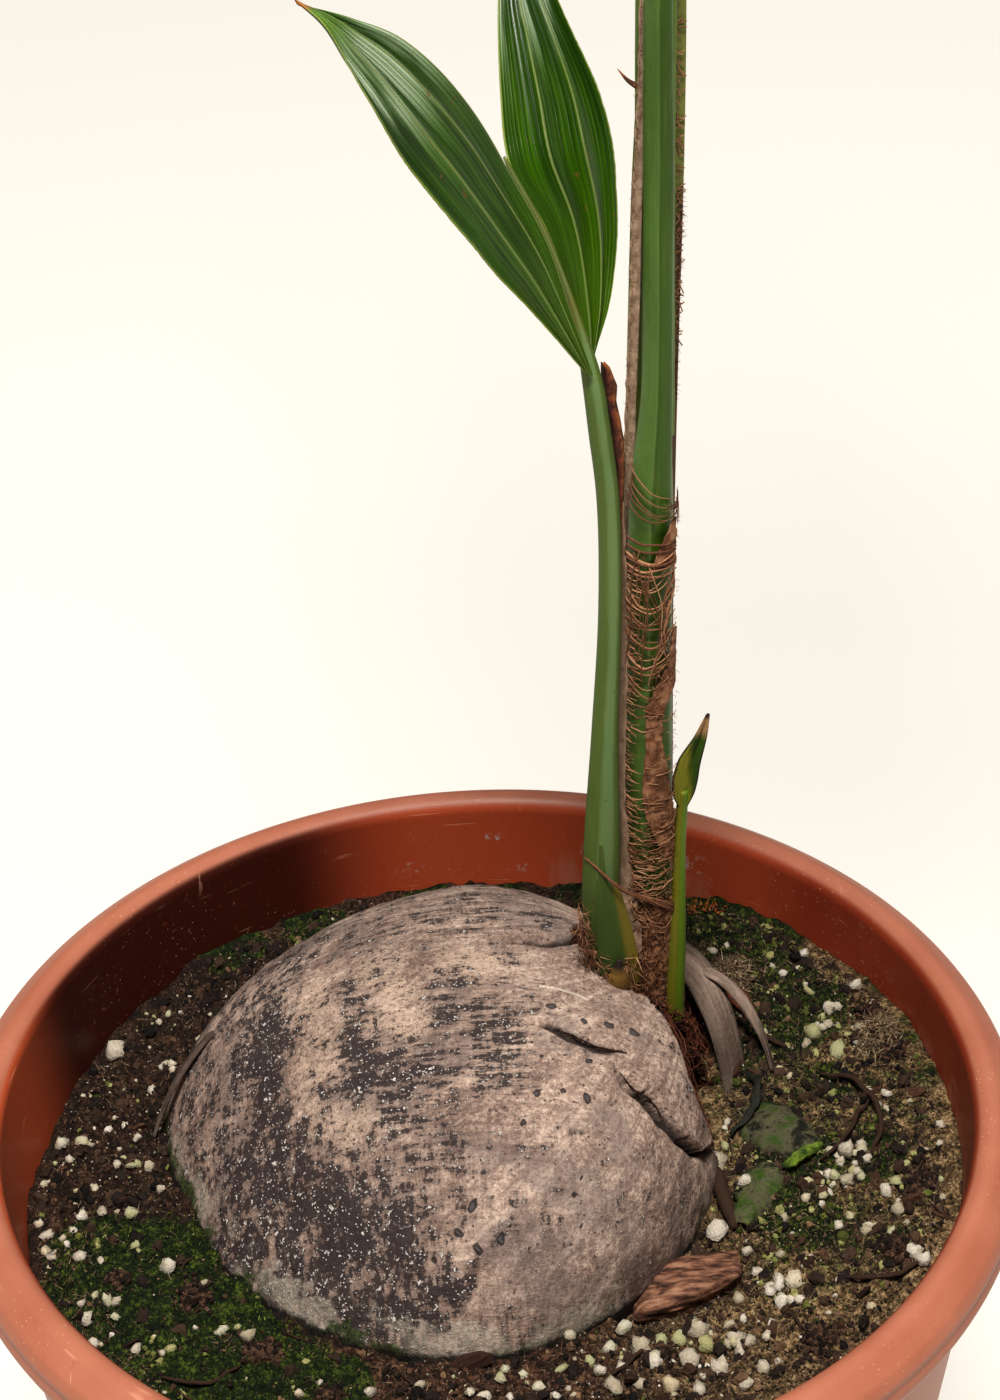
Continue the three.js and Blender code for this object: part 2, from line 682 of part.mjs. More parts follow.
// A smooth curve through places written as [x, y, height].
function curveThrough(rows) {
  const places = rows.map(([x, y, h]) => at(x, y, h));
  const curve = new THREE.CatmullRomCurve3(places, false, 'centripetal');
  return (s) => curve.getPointAt(THREE.MathUtils.clamp(s, 0, 1));
}
const FIRST_LEAF = {
  leaf_1_front: {
    inner: curveThrough([
      [46, 37, 285],
      [30, 41.5, 335],
      [19, 40, 358],
      [7, 28, 385],
      [-11, 9, 412],
      [-25, -5, 424],
      [-40, -18, 433],
    ]),
    outer: curveThrough([
      [44, 36, 286],
      [27, 22, 314],
      [7, 2, 348],
      [-11, -12, 380],
      [-22, -20, 405],
      [-32, -22, 427],
      [-41, -19, 435],
    ]),
    hand: 1,
  },
  leaf_1_back: {
    inner: curveThrough([
      [46, 46.3, 285],
      [31, 46.8, 335],
      [20, 46.9, 356],
      [18, 66, 373],
      [18, 86, 392],
      [22, 118, 426],
    ]),
    outer: curveThrough([
      [47, 47.3, 287],
      [53, 58, 303],
      [57, 78, 331],
      [53, 97, 358],
      [38, 112, 392],
      [23, 120, 428],
    ]),
    hand: -1,
  },
};
for (const [name, edges] of Object.entries(FIRST_LEAF)) {
  const lobe = {
    ...edges,
    crown: FIRST_LEAF_CROWN,
    pleat: FIRST_LEAF_PLEAT,
    folds: LEAF_FOLDS,
    thickness: FIRST_LEAF_THICKNESS,
  };
  add(name, lobeGeometry(lobe), LEAF_GREEN, 0.35);
}

// The short sheath leaf stands at the right of the shoot.
add('sheath_leaf', rooted(stalkGeometry(stations([
  [78.6, 49, -50, 5, 5, 0.6],
  [78, 49.5, 27, 5, 5, 0.8],
  [77.4, 50, 52, 4.6, 3.8, 0.8],
  [78.4, 50, 76, 4.6, 3.8, 0.8],
  [79, 50, 99, 6, 4.6, 1.2],
  [80.6, 50, 114, 9, 6, 2.6],
  [84.4, 50, 126, 8, 5.6, 2.4],
  [88.3, 50, 138.5, 1, 1, 0],
]), -0.2)), STALK_GREEN, 0.55);

// A net of dry fibre wraps the front of the shoot, which narrows between two heights.
const NET = { bottom: 14, top: 236, from: 196, to: 344, off: 1.2, thickness: 1, rows: 8, columns: 8 };
const SHOOT = { x: 65.8, y: 51, halfWidth: 9.3, halfDepth: 8.8 };
const NARROWING = { from: 190, to: 272, x: 2.8, halfWidth: 3.6, halfDepth: 2.9 };
add('fibre_net', sheet(NET.rows, NET.columns, (s, q) => {
  const h = NET.bottom + (NET.top - NET.bottom) * s;
  const a = THREE.MathUtils.degToRad(NET.from + (NET.to - NET.from) * q);
  const taper = THREE.MathUtils.smoothstep(h, NARROWING.from, NARROWING.to);
  const halfWidth = SHOOT.halfWidth - NARROWING.halfWidth * taper + NET.off;
  const halfDepth = SHOOT.halfDepth - NARROWING.halfDepth * taper + NET.off;
  const x = SHOOT.x + NARROWING.x * taper + Math.cos(a) * halfWidth;
  return at(x, SHOOT.y + Math.sin(a) * halfDepth, h);
}, NET.thickness), FIBRE_BROWN, 0.9);

// A dry scrap of the sheath hangs at the left of the shoot.
const SCRAP = { x: 51.2, y: 45.5, top: 284, length: 78, width: 4.6, bow: 2.4, thickness: 0.9 };
add('dry_scrap', sheet(6, 2, (s, q) => {
  const reach = (q - 0.5) * SCRAP.width * Math.sin(Math.PI * (0.15 + 0.7 * s));
  const x = SCRAP.x + SCRAP.bow * Math.sin(Math.PI * 0.5 * s) + reach;
  return at(x, SCRAP.y, SCRAP.top - SCRAP.length * s);
}, SCRAP.thickness), DRY_RED, 0.8);

export default group;
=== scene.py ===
# %% [markdown]
# # A young coconut palm in a round pot
# A sprouted coconut lies half buried in a low terracotta-coloured pot. This lesson dresses the
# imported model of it: each visible surface is worked out with numpy over the fixed frame and gets
# a material built from nodes. Heights are measured from the pot's lip, in millimetres, and become
# metres only when a mesh is made.

# %% The fixed frame
import math

import bpy
import numpy as np
from mathutils import Matrix


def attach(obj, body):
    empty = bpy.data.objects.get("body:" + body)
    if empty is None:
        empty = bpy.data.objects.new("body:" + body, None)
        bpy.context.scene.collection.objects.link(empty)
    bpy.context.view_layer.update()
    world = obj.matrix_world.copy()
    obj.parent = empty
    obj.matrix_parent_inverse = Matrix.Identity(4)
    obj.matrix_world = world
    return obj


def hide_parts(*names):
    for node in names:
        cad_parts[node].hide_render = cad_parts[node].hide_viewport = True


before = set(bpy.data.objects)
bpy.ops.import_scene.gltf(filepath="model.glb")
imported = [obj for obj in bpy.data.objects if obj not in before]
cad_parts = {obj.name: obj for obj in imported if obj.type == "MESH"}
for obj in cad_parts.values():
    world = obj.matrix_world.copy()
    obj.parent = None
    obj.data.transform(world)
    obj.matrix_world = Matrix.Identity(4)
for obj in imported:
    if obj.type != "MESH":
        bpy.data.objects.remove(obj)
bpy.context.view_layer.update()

# %% [markdown]
# ## The camera
# The photograph looks down at the pot, with the top of the plant outside the picture. The pot's
# lip is a true circle, so its ellipse in the picture fixes the distance, the downward angle and
# the slight roll. A long lens with those numbers repeats the view.

# %% The camera
LOOK_DOWN = math.radians(32.899)
ROLL = math.radians(-2.077)
LENS_MM = 66.857
STAND = (0.01078, -0.75814, 0.96341)

level = np.array([1.0, 0.0, 0.0])
lifted = np.array([0.0, math.sin(LOOK_DOWN), math.cos(LOOK_DOWN)])
camera_right = level * math.cos(ROLL) + lifted * math.sin(ROLL)
camera_up = lifted * math.cos(ROLL) - level * math.sin(ROLL)
camera_back = np.cross(camera_right, camera_up)
camera = bpy.data.objects.new("camera", bpy.data.cameras.new("camera"))
camera.data.lens = LENS_MM
turned = np.eye(4)
turned[:3, :3] = np.stack([camera_right, camera_up, camera_back], 1)
turned[:3, 3] = STAND
camera.matrix_world = Matrix(turned.tolist())
bpy.context.scene.collection.objects.link(camera)
bpy.context.scene.camera = camera
print("camera at", STAND)

# %% [markdown]
# ## Helpers for shapes
# A surface is a grid of points worked out as whole arrays. Small helpers give smooth noise,
# distances to a line, the faces of a grid, and closed bodies over rings or over thin sheets.

# %% Numbers and noise
MM = 0.001
LIP = 293.0
TAU = 2 * math.pi


def xyz(x, y, z):
    """Points from three numbers or arrays, each spread to the shape that they share."""
    return np.stack(np.broadcast_arrays(x, y, z), -1).astype(float)


def at(x, y, h):
    """Points at x, y and a height above the pot's lip, in millimetres."""
    return xyz(x, y, np.asarray(h, float) + LIP)


def unit(v):
    """Each vector divided by its length."""
    return v / np.maximum(np.linalg.norm(v, axis=-1, keepdims=True), 1e-9)


def ease(x, low, high):
    """0 below low, 1 above high, and 3t^2 - 2t^3 between them."""
    t = np.clip((x - low) / (high - low), 0, 1)
    return t * t * (3 - 2 * t)


def hashed(cells, seed):
    """A repeatable value from -1 to 1 for each whole-number place: its numbers multiplied and mixed."""
    mixed = cells[..., 0] * 73856093 ^ cells[..., 1] * 19349663 ^ cells[..., 2] * 83492791 ^ seed * 26544357
    mixed = mixed & 0xFFFFFFFF
    mixed = (mixed ^ (mixed >> 13)) * 1274126177 & 0xFFFFFFFF
    mixed = (mixed ^ (mixed >> 16)) * 668265263 & 0xFFFFFFFF
    return ((mixed >> 9) & 0xFFFF) / 32767.5 - 1


def waver(points, size, seed=0):
    """Smooth noise from -1 to 1: values at a lattice's corners, blended by 3t^2 - 2t^3."""
    place = points / size
    low = np.floor(place).astype(np.int64)
    t = place - low
    t = t * t * (3 - 2 * t)
    total = np.zeros(points.shape[:-1])
    for corner in np.ndindex(2, 2, 2):
        share = np.prod(np.where(corner, t, 1 - t), -1)
        total += share * hashed(low + np.array(corner), seed)
    return total


def layered(points, size, seed=0, layers=3):
    """Noise summed over layers, each half the size and half the strength of the one before."""
    return sum(waver(points, size / 2**k, seed + 7 * k) / 2**k for k in range(layers))


def drift(points, size, seeds, layers=3):
    """Layered noise along each axis: the way that a point wanders."""
    return np.stack([layered(points, size, seed, layers) for seed in seeds], -1)


def near_line(points, line):
    """The distance from each point to a line through given places, and its share along the line."""
    line = np.asarray(line, float)
    best = np.full(points.shape[:-1], 1e9)
    share = np.zeros(points.shape[:-1])
    for k in range(len(line) - 1):
        step = line[k + 1] - line[k]
        t = np.clip(((points - line[k]) @ step) / (step @ step), 0, 1)
        gap = np.linalg.norm(points - line[k] - t[..., None] * step, axis=-1)
        share = np.where(gap < best, (k + t) / (len(line) - 1), share)
        best = np.minimum(best, gap)
    return best, share


def spots(points, rounds, soften):
    """1 inside any of the round places (x, y, z, radius), falling to 0 round its edge."""
    total = np.zeros(points.shape[:-1])
    for x, y, z, radius in rounds:
        gap = np.linalg.norm(points - np.array([x, y, z]), axis=-1) / radius
        total = np.maximum(total, 1 - ease(gap, 1 - soften, 1 + soften))
    return total


print("noise ranges over", waver(np.random.default_rng(1).uniform(0, 99, (999, 3)), 5).round(2)[:3])

# %% Curves through places


def through(keys, count):
    """A smooth curve through rows of numbers (the first three are a place), at even arc lengths.

    Centripetal Catmull-Rom: each stretch is a cubic whose pace follows the square root of the
    distance between its ends; the other numbers in a row are carried along in the same way.
    """
    keys = np.asarray(keys, float)
    full = np.concatenate([[2 * keys[0] - keys[1]], keys, [2 * keys[-1] - keys[-2]]])
    gaps = np.sqrt(np.linalg.norm(np.diff(full[:, :3], axis=0), axis=1))
    knots = np.concatenate([[0], np.cumsum(gaps)])
    fine = np.linspace(knots[1], knots[-2], 40 * len(keys) + 1)
    k = np.clip(np.searchsorted(knots, fine, side="right") - 1, 1, len(keys) - 1)
    p = [full[k + i] for i in (-1, 0, 1, 2)]
    u = [knots[k + i][:, None] for i in (-1, 0, 1, 2)]
    x = fine[:, None]

    def between(a, b, ua, ub):
        return ((ub - x) * a + (x - ua) * b) / (ub - ua)

    a = [between(p[i], p[i + 1], u[i], u[i + 1]) for i in range(3)]
    b = [between(a[i], a[i + 1], u[i], u[i + 2]) for i in range(2)]
    curve = between(b[0], b[1], u[1], u[2])
    along = np.concatenate([[0], np.cumsum(np.linalg.norm(np.diff(curve[:, :3], axis=0), axis=1))])
    wanted = along[-1] * np.linspace(0, 1, count)
    return np.stack([np.interp(wanted, along, column) for column in curve.T], 1)


def places(rows):
    """Rows of [x, y, height above the lip, ...] with the height measured from the underside."""
    rows = np.array(rows, float)
    rows[:, 2] += LIP
    return rows


def sampled(rows, share):
    """Rows read at shares of the way from the first to the last, along straight lines."""
    return np.stack([np.interp(share, np.linspace(0, 1, len(rows)), column) for column in rows.T], -1)


def bridge(starts, ends, t):
    """Straight paths from each start to its end: (1 - t) of the one and t of the other."""
    return starts[:, None] * (1 - t) + ends[:, None] * t


print("halfway round a bend:", through([[0, 0, 0], [9, 0, 0], [9, 9, 0]], 3)[1].round(1))


# %% Grids, closed bodies and thin sheets


class Form:
    """Points in millimetres, their faces of four and of three corners, and values on the points."""

    def __init__(self, points, quads=(), tris=(), **values):
        self.points = np.asarray(points, float).reshape(-1, 3)
        self.quads = np.asarray(quads, int).reshape(-1, 4)
        self.tris = np.asarray(tris, int).reshape(-1, 3)
        self.values = {name: np.asarray(v, float).ravel() for name, v in values.items()}


def join(*forms):
    """Several forms as one: points one after another, with the faces' numbers moved along."""
    starts = np.cumsum([0] + [len(f.points) for f in forms])
    names = sorted({name for f in forms for name in f.values})
    values = {
        name: np.concatenate([f.values.get(name, np.zeros(len(f.points))) for f in forms])
        for name in names
    }
    return Form(
        np.concatenate([f.points for f in forms]),
        np.concatenate([f.quads + s for f, s in zip(forms, starts)]),
        np.concatenate([f.tris + s for f, s in zip(forms, starts)]),
        **values,
    )


def net_of(rows, columns, closed=False):
    """The quads of a grid of points; closed joins the last column to the first."""
    index = np.arange(rows * columns).reshape(rows, columns)
    if closed:
        index = np.concatenate([index, index[:, :1]], 1)
    corners = [index[:-1, :-1], index[:-1, 1:], index[1:, 1:], index[1:, :-1]]
    return np.stack(corners, -1).reshape(-1, 4)


def loft(rings, **values):
    """Closed bodies over stacks of rings (..., rows, sides, 3), with a fan of faces at each end."""
    rings = rings.reshape(-1, *rings.shape[-3:])
    bodies, rows, sides, _ = rings.shape
    ends = rings[:, [0, -1]].mean(2)
    points = np.concatenate([rings.reshape(bodies, -1, 3), ends], 1)
    i = np.arange(sides)
    j = (i + 1) % sides
    last = (rows - 1) * sides
    foot = np.stack([np.full(sides, rows * sides), j, i], 1)
    head = np.stack([np.full(sides, rows * sides + 1), last + i, last + j], 1)
    start = (np.arange(bodies) * points.shape[1])[:, None, None]
    quads = net_of(rows, sides, True)[None] + start
    tris = np.concatenate([foot, head])[None] + start
    carried = {}
    for name, value in values.items():
        value = np.broadcast_to(value, (bodies, rows, sides))
        both = value[:, [0, -1]].mean(2)
        carried[name] = np.concatenate([value.reshape(bodies, -1), both], 1)
    return Form(points, quads, tris, **carried)


def slab(grid, thickness, **values):
    """A thin closed sheet: the grid moved half a thickness out along its normals both ways."""
    rows, columns, _ = grid.shape
    normal = unit(np.cross(np.gradient(grid, axis=0), np.gradient(grid, axis=1)))
    half = normal * np.asarray(thickness)[..., None] / 2
    index = np.arange(rows * columns).reshape(rows, columns)
    low = index + rows * columns
    edge = np.concatenate([index[0], index[1:, -1], index[-1, -2::-1], index[-2:0:-1, 0]])
    following = np.roll(edge, -1)
    top = net_of(rows, columns)[:, ::-1]
    walls = np.stack([edge, following, following + rows * columns, edge + rows * columns], 1)
    bottom = low.ravel()[net_of(rows, columns)]
    carried = {name: np.tile(np.broadcast_to(v, (rows, columns)).ravel(), 2) for name, v in values.items()}
    points = np.concatenate([(grid + half).reshape(-1, 3), (grid - half).reshape(-1, 3)])
    return Form(points, np.concatenate([top, bottom, walls]), **carried)


def cords(paths, radius, sides=6, flat=1.0, **values):
    """Round closed bodies along many paths (bodies, steps, 3), each a circle carried along its path."""
    paths = np.asarray(paths, float)
    along = unit(np.gradient(paths, axis=1))
    main = unit(paths[:, -1] - paths[:, 0])[:, None, :]
    upright = np.abs(main[..., 2:]) > 0.7
    facing = np.where(upright, np.array([1.0, 0.2, 0.0]), np.array([0.1, 0.0, 1.0]))
    side = unit(np.cross(facing, along))[:, :, None]
    out = np.cross(along, side[:, :, 0])[:, :, None]
    turn = (np.arange(sides) / sides * TAU)[:, None]
    size = np.broadcast_to(radius, paths.shape[:2])[:, :, None, None]
    rings = paths[:, :, None] + size * (np.cos(turn) * side + flat * np.sin(turn) * out)
    shaped = {name: np.asarray(v, float).reshape(-1, 1, 1) for name, v in values.items()}
    return loft(rings, **shaped)


print("a grid of 3 by 4 points has", len(net_of(3, 4)), "quads")


# %% Small lumps and cones


def ball_of_quads():
    """The 26 outer points of a 3 x 3 x 3 block pushed to one radius, and the block's 24 quads."""
    block = np.arange(27).reshape(3, 3, 3)
    steps = np.stack(np.meshgrid(*[[-1, 0, 1]] * 3, indexing="ij"), -1).reshape(-1, 3)
    kept = np.flatnonzero(np.abs(steps).max(1) == 1)
    number = np.full(27, -1)
    number[kept] = np.arange(26)
    quads = []
    for axis in range(3):
        for side in (0, 2):
            face = np.take(block, side, axis=axis).ravel()[net_of(3, 3)]
            outward = (side == 2) == (axis == 1)
            quads.append(face if outward else face[:, ::-1])
    return unit(steps[kept].astype(float)), number[np.concatenate(quads)]


def any_turn(rng, count):
    """Random turns as matrices, from random unit quaternions."""
    w, x, y, z = unit(rng.normal(size=(count, 4))).T
    rows = [
        [1 - 2 * (y * y + z * z), 2 * (x * y - w * z), 2 * (x * z + w * y)],
        [2 * (x * y + w * z), 1 - 2 * (x * x + z * z), 2 * (y * z - w * x)],
        [2 * (x * z - w * y), 2 * (y * z + w * x), 1 - 2 * (x * x + y * y)],
    ]
    return np.moveaxis(np.array(rows), -1, 0)


def lumps(rng, centres, size, rough=0.25, stretch=(1.0, 1.0, 1.0)):
    """Uneven grains: a ball's points pushed in or out at random, stretched, turned and placed."""
    ball, quads = ball_of_quads()
    count = len(centres)
    reach = 1 + rng.uniform(-rough, rough, (count, len(ball), 1))
    shape = ball * reach * np.asarray(stretch) * rng.uniform(0.7, 1.3, (count, 1, 3))
    shape = np.einsum("nij,nkj->nki", any_turn(rng, count), shape)
    points = centres[:, None] + shape * np.broadcast_to(size, count)[:, None, None]
    numbered = quads[None] + (np.arange(count) * len(ball))[:, None, None]
    tint = np.repeat(rng.uniform(0, 1, count), len(ball))
    return Form(points, numbered, tint=tint)


def bristles(rng, feet, height, radius, lean=0.5, upward=(0, 0, 1)):
    """Three-sided cones that stand on their feet and lean at random: moss leaves and short fibres."""
    count = len(feet)
    rise = unit(np.asarray(upward, float) + rng.normal(0, lean, (count, 3)))
    tall = np.broadcast_to(height, count)[:, None] * rng.uniform(0.6, 1.4, (count, 1))
    side = unit(np.cross(rise, rng.normal(size=(count, 3))))
    other = np.cross(rise, side)
    turn = (np.arange(3) / 3 * TAU)[:, None]
    ring = feet[:, None] + radius * (np.cos(turn) * side[:, None] + np.sin(turn) * other[:, None])
    tip = (feet + rise * tall)[:, None]
    points = np.concatenate([ring, tip], 1)
    faces = np.array([[0, 1, 3], [1, 2, 3], [2, 0, 3], [0, 2, 1]])
    numbered = faces[None] + (np.arange(count) * 4)[:, None, None]
    tint = np.repeat(rng.uniform(0, 1, count), 4)
    return Form(points, tris=numbered, tint=tint)


print("a lump has", len(ball_of_quads()[1]), "quads")

# %% [markdown]
# ## Helpers for materials
# Shader maths reads best as plain expressions, so a small class wraps a socket and turns each
# operator into a Math node. A second class holds one material and adds every other node through
# a single method. Patterns use Object coordinates, in millimetres.

# %% Wires and finishes


def paint(red, green, blue):
    """A colour written from 0 to 255, as the linear values that a shader takes."""
    share = np.array([red, green, blue]) / 255
    linear = np.where(share <= 0.04045, share / 12.92, ((share + 0.055) / 1.055) ** 2.4)
    return (*linear.tolist(), 1.0)


class Wire:
    """A socket in an expression: every operator adds the Math node that works it out."""

    def __init__(self, finish, socket):
        self.finish, self.socket = finish, socket

    def math(self, operation, *others):
        """The Math node for an operation on this wire and others."""
        return self.finish.node("ShaderNodeMath", {"operation": operation}, [self, *others])

    def __add__(self, other):
        return self.math("ADD", other)

    def __sub__(self, other):
        return self.math("SUBTRACT", other)

    def __rsub__(self, other):
        return self.finish.node("ShaderNodeMath", {"operation": "SUBTRACT"}, [other, self])

    def __mul__(self, other):
        return self.math("MULTIPLY", other)

    def most(self, other):
        return self.math("MAXIMUM", other)

    def within(self, low, high):
        """0 below low and 1 above high, smoothly between them."""
        settings = {"interpolation_type": "SMOOTHSTEP"}
        return self.finish.node("ShaderNodeMapRange", settings, {0: self, 1: low, 2: high})

    __radd__, __rmul__ = __add__, __mul__


class Finish:
    """A material that grows node by node."""

    def __init__(self, name):
        self.material = bpy.data.materials.new(name)
        self.material.use_nodes = True
        self.tree = self.material.node_tree
        self.tree.nodes.clear()
        self.place = self.scaled(self.node("ShaderNodeTexCoord", out="Object"), 1 / MM)

    def node(self, kind, settings=None, values=(), out=0):
        """Adds a node: its settings first, then each socket's value or link, and gives one output."""
        made = self.tree.nodes.new(kind)
        for key, value in (settings or {}).items():
            if key == "stops":
                self.fill(made.color_ramp, value)
            else:
                setattr(made, key, value)
        pairs = values.items() if isinstance(values, dict) else enumerate(values)
        for key, value in pairs:
            if isinstance(value, Wire):
                self.tree.links.new(value.socket, made.inputs[key])
            else:
                made.inputs[key].default_value = value
        return Wire(self, made.outputs[out])

    @staticmethod
    def fill(ramp, stops):
        """Puts the stops (place, (red, green, blue)) into a colour ramp."""
        while len(ramp.elements) < len(stops):
            ramp.elements.new(1.0)
        for element, (spot, colour) in zip(ramp.elements, stops):
            element.position, element.color = spot, paint(*colour)

    def scaled(self, vector, size):
        """A vector times one number."""
        return self.node("ShaderNodeVectorMath", {"operation": "SCALE"}, {0: vector, "Scale": size})

    def stretched(self, vector, sizes):
        """A vector times three numbers."""
        return self.node("ShaderNodeVectorMath", {"operation": "MULTIPLY"}, [vector, sizes])

    def noise(self, size, detail=3.0, rough=0.55, place=None, bend=0.0):
        """Cloudy noise with features of this size in millimetres, stretched by three numbers for place."""
        if isinstance(place, tuple):
            place = self.stretched(self.place, place)
        values = {"Vector": place or self.place, "Scale": 1 / size, "Detail": detail}
        return self.node("ShaderNodeTexNoise", None, {**values, "Roughness": rough, "Distortion": bend})

    def cells(self, size):
        """The distance to the nearest of scattered points, in parts of their spacing."""
        values = {"Vector": self.place, "Scale": 1 / size}
        return self.node("ShaderNodeTexVoronoi", None, values, "Distance")

    def axis(self, letter):
        """The place along X, Y or Z, in millimetres."""
        return self.node("ShaderNodeSeparateXYZ", None, [self.place], letter)

    def value(self, name):
        """The value that the mesh carries under this name."""
        return self.node("ShaderNodeAttribute", {"attribute_name": name}, out="Fac")

    def ramp(self, wire, *stops):
        """Colours along a range from 0 to 1."""
        return self.node("ShaderNodeValToRGB", {"stops": stops}, [wire])

    def mix(self, share, first, second):
        """The first colour, changing to the second where the share is 1."""
        first, second = (paint(*c) if isinstance(c, tuple) else c for c in (first, second))
        return self.node("ShaderNodeMix", {"data_type": "RGBA"}, {0: share, 6: first, 7: second}, 2)

    def over(self, base, *layers):
        """Layers of (share, colour), each laid over what the ones before it leave."""
        for share, colour in layers:
            base = self.mix(share, base, colour)
        return base

    def bump(self, height, distance, strength=1.0, under=None):
        """A bump whose height is given in millimetres for a value of 1."""
        values = {"Height": height, "Distance": distance * MM, "Strength": strength}
        if under is not None:
            values["Normal"] = under
        return self.node("ShaderNodeBump", None, values, "Normal")

    def done(self, colour, rough, normal=None, **plain):
        """Ends the material in a Principled shader; plain numbers are set on its own sockets."""
        values = {"Base Color": colour, "Roughness": rough}
        if normal is not None:
            values["Normal"] = normal
        values.update({name.replace("_", " "): value for name, value in plain.items()})
        shader = self.node("ShaderNodeBsdfPrincipled", None, values)
        self.node_out(shader)
        return self.material

    def node_out(self, shader):
        """Links a shader to the material's surface."""
        out = self.tree.nodes.new("ShaderNodeOutputMaterial")
        self.tree.links.new(shader.socket, out.inputs["Surface"])


def grain_finish(name, low, middle, high, size, rough=0.9):
    """A crumb's finish: its own tint along three colours, darkened by cloudy noise."""
    made = Finish(name)
    clouds = made.noise(size, 4, 0.65)
    base = made.ramp(made.value("tint"), (0.0, low), (0.5, middle), (1.0, high))
    base = made.mix(clouds.within(0.45, 0.7) * 0.45, base, low)
    return made.done(base, rough - 0.12 * clouds, made.bump(clouds, 0.5, 0.8), Specular_IOR_Level=0.25)


print("a middle grey of 128 is", round(paint(128, 128, 128)[0], 3), "to a shader")


# %% Meshes from forms


def mesh_from(name, form, smooth=True):
    """A Blender mesh filled by foreach_set: points in metres, corners, and where each face starts."""
    mesh = bpy.data.meshes.new(name)
    mesh.vertices.add(len(form.points))
    mesh.vertices.foreach_set("co", (form.points * MM).astype(np.float32).ravel())
    corners = np.concatenate([form.quads.ravel(), form.tris.ravel()]).astype(np.int32)
    sizes = np.repeat([4, 3], [len(form.quads), len(form.tris)])
    starts = np.concatenate([[0], np.cumsum(sizes)[:-1]]).astype(np.int32)
    mesh.loops.add(len(corners))
    mesh.loops.foreach_set("vertex_index", corners)
    mesh.polygons.add(len(sizes))
    mesh.polygons.foreach_set("loop_start", starts)
    mesh.polygons.foreach_set("use_smooth", np.full(len(sizes), smooth))
    for value, numbers in form.values.items():
        layer = mesh.attributes.new(value, "FLOAT", "POINT")
        layer.data.foreach_set("value", numbers.astype(np.float32))
    mesh.update(calc_edges=True)
    return mesh


def piece(name, form, material, stands_for=(), smooth=True):
    """One finished piece on the plant's only body and the nodes that it stands for."""
    made = bpy.data.objects.new(name, mesh_from(name, form, smooth))
    bpy.context.scene.collection.objects.link(made)
    made.data.materials.append(material)
    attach(made, "root")
    if stands_for:
        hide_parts(*stands_for)
    print(f"{name}: {2 * len(form.quads) + len(form.tris)} triangles")
    return made


# %% [markdown]
# ## Floor and light
# The photograph is a plain studio shot: a pale even ground and one broad light high above, a
# little to the front, so the pot's inner walls stay dark. Area lights give the soft shadows, and a
# view gamma under 1 deepens them, as a print does.

# %% Floor, lights and sky
floor_finish = Finish("pale_floor")
floor_tone = paint(255, 250, 240)
floor_diffuse = floor_finish.node("ShaderNodeBsdfDiffuse", None, {"Color": floor_tone})
floor_glow = floor_finish.node("ShaderNodeEmission", None, {"Color": floor_tone, "Strength": 1.1})
floor_mix = floor_finish.node("ShaderNodeMixShader", None, {0: 0.72, 1: floor_diffuse, 2: floor_glow})
floor_finish.node_out(floor_mix)
FLOOR_REACH, FLOOR_LEVEL = 30000.0, -0.2
steps = np.linspace(-FLOOR_REACH, FLOOR_REACH, 9)
floor_grid = xyz(steps, steps[:, None], FLOOR_LEVEL)
floor = bpy.data.objects.new("floor", mesh_from("floor", Form(floor_grid, net_of(9, 9))))
floor.data.materials.append(floor_finish.material)
bpy.context.scene.collection.objects.link(floor)


def area_light(name, place, target, size, watts, tint=(1.0, 1.0, 1.0)):
    """A square area light that faces a target."""
    lamp = bpy.data.objects.new(name, bpy.data.lights.new(name, "AREA"))
    lamp.data.size, lamp.data.energy, lamp.data.color = size, watts, tint
    away = unit(np.array(place, float) - np.array(target, float))
    side = unit(np.cross((0.0, 0.0, 1.0), away))
    turned = np.eye(4)
    turned[:3, :3] = np.stack([side, np.cross(away, side), away], 1)
    turned[:3, 3] = place
    lamp.matrix_world = Matrix(turned.tolist())
    bpy.context.scene.collection.objects.link(lamp)


area_light("key", (-0.05, -0.75, 2.6), (0.0, 0.0, 0.3), 0.6, 86.0, (1.0, 0.97, 0.93))
area_light("fill", (-1.9, -1.1, 1.9), (0.0, 0.0, 0.4), 1.6, 2.0, (0.94, 0.97, 1.0))
area_light("back", (0.6, 1.9, 1.9), (0.0, 0.0, 0.5), 1.4, 4.0)
sky = bpy.data.worlds.new("sky")
sky.use_nodes = True
sky.node_tree.nodes["Background"].inputs[0].default_value = (0.97, 0.98, 1.0, 1.0)
sky.node_tree.nodes["Background"].inputs[1].default_value = 0.06
bpy.context.scene.world = sky
view = bpy.context.scene.view_settings
view.view_transform = "Standard"
view.exposure, view.gamma = 0.1, 0.85
print("three lights and a pale sky")

# %% [markdown]
# ## The pot
# A thin moulded pot with a rolled lip and two ridges round its band. It is a profile turned about
# the upright axis. The corners of the profile are eased with short curves, so that each edge
# catches a line of light. The plastic is satin, slightly mottled and scratched. Inside it is painted
# a darker brown as painted shade, with a painted shadow at the back left and painted light at the
# far left and at the back, and a pale water line and specks of salt above the mix.

# %% The pot's shape
INNER_REACH, INNER_SLOPE = 185.0, math.tan(math.radians(5.5))
OUTER_REACH, OUTER_SLOPE = 192.5, math.tan(math.radians(6.5))
FOOT_REACH = OUTER_REACH - 275 * OUTER_SLOPE
ROLL_RADIUS = 7.0


def inner_wall(z):
    """The inner wall's radius at a height above the underside."""
    return INNER_REACH - (LIP - z) * INNER_SLOPE


CORNER_STEPS = 6


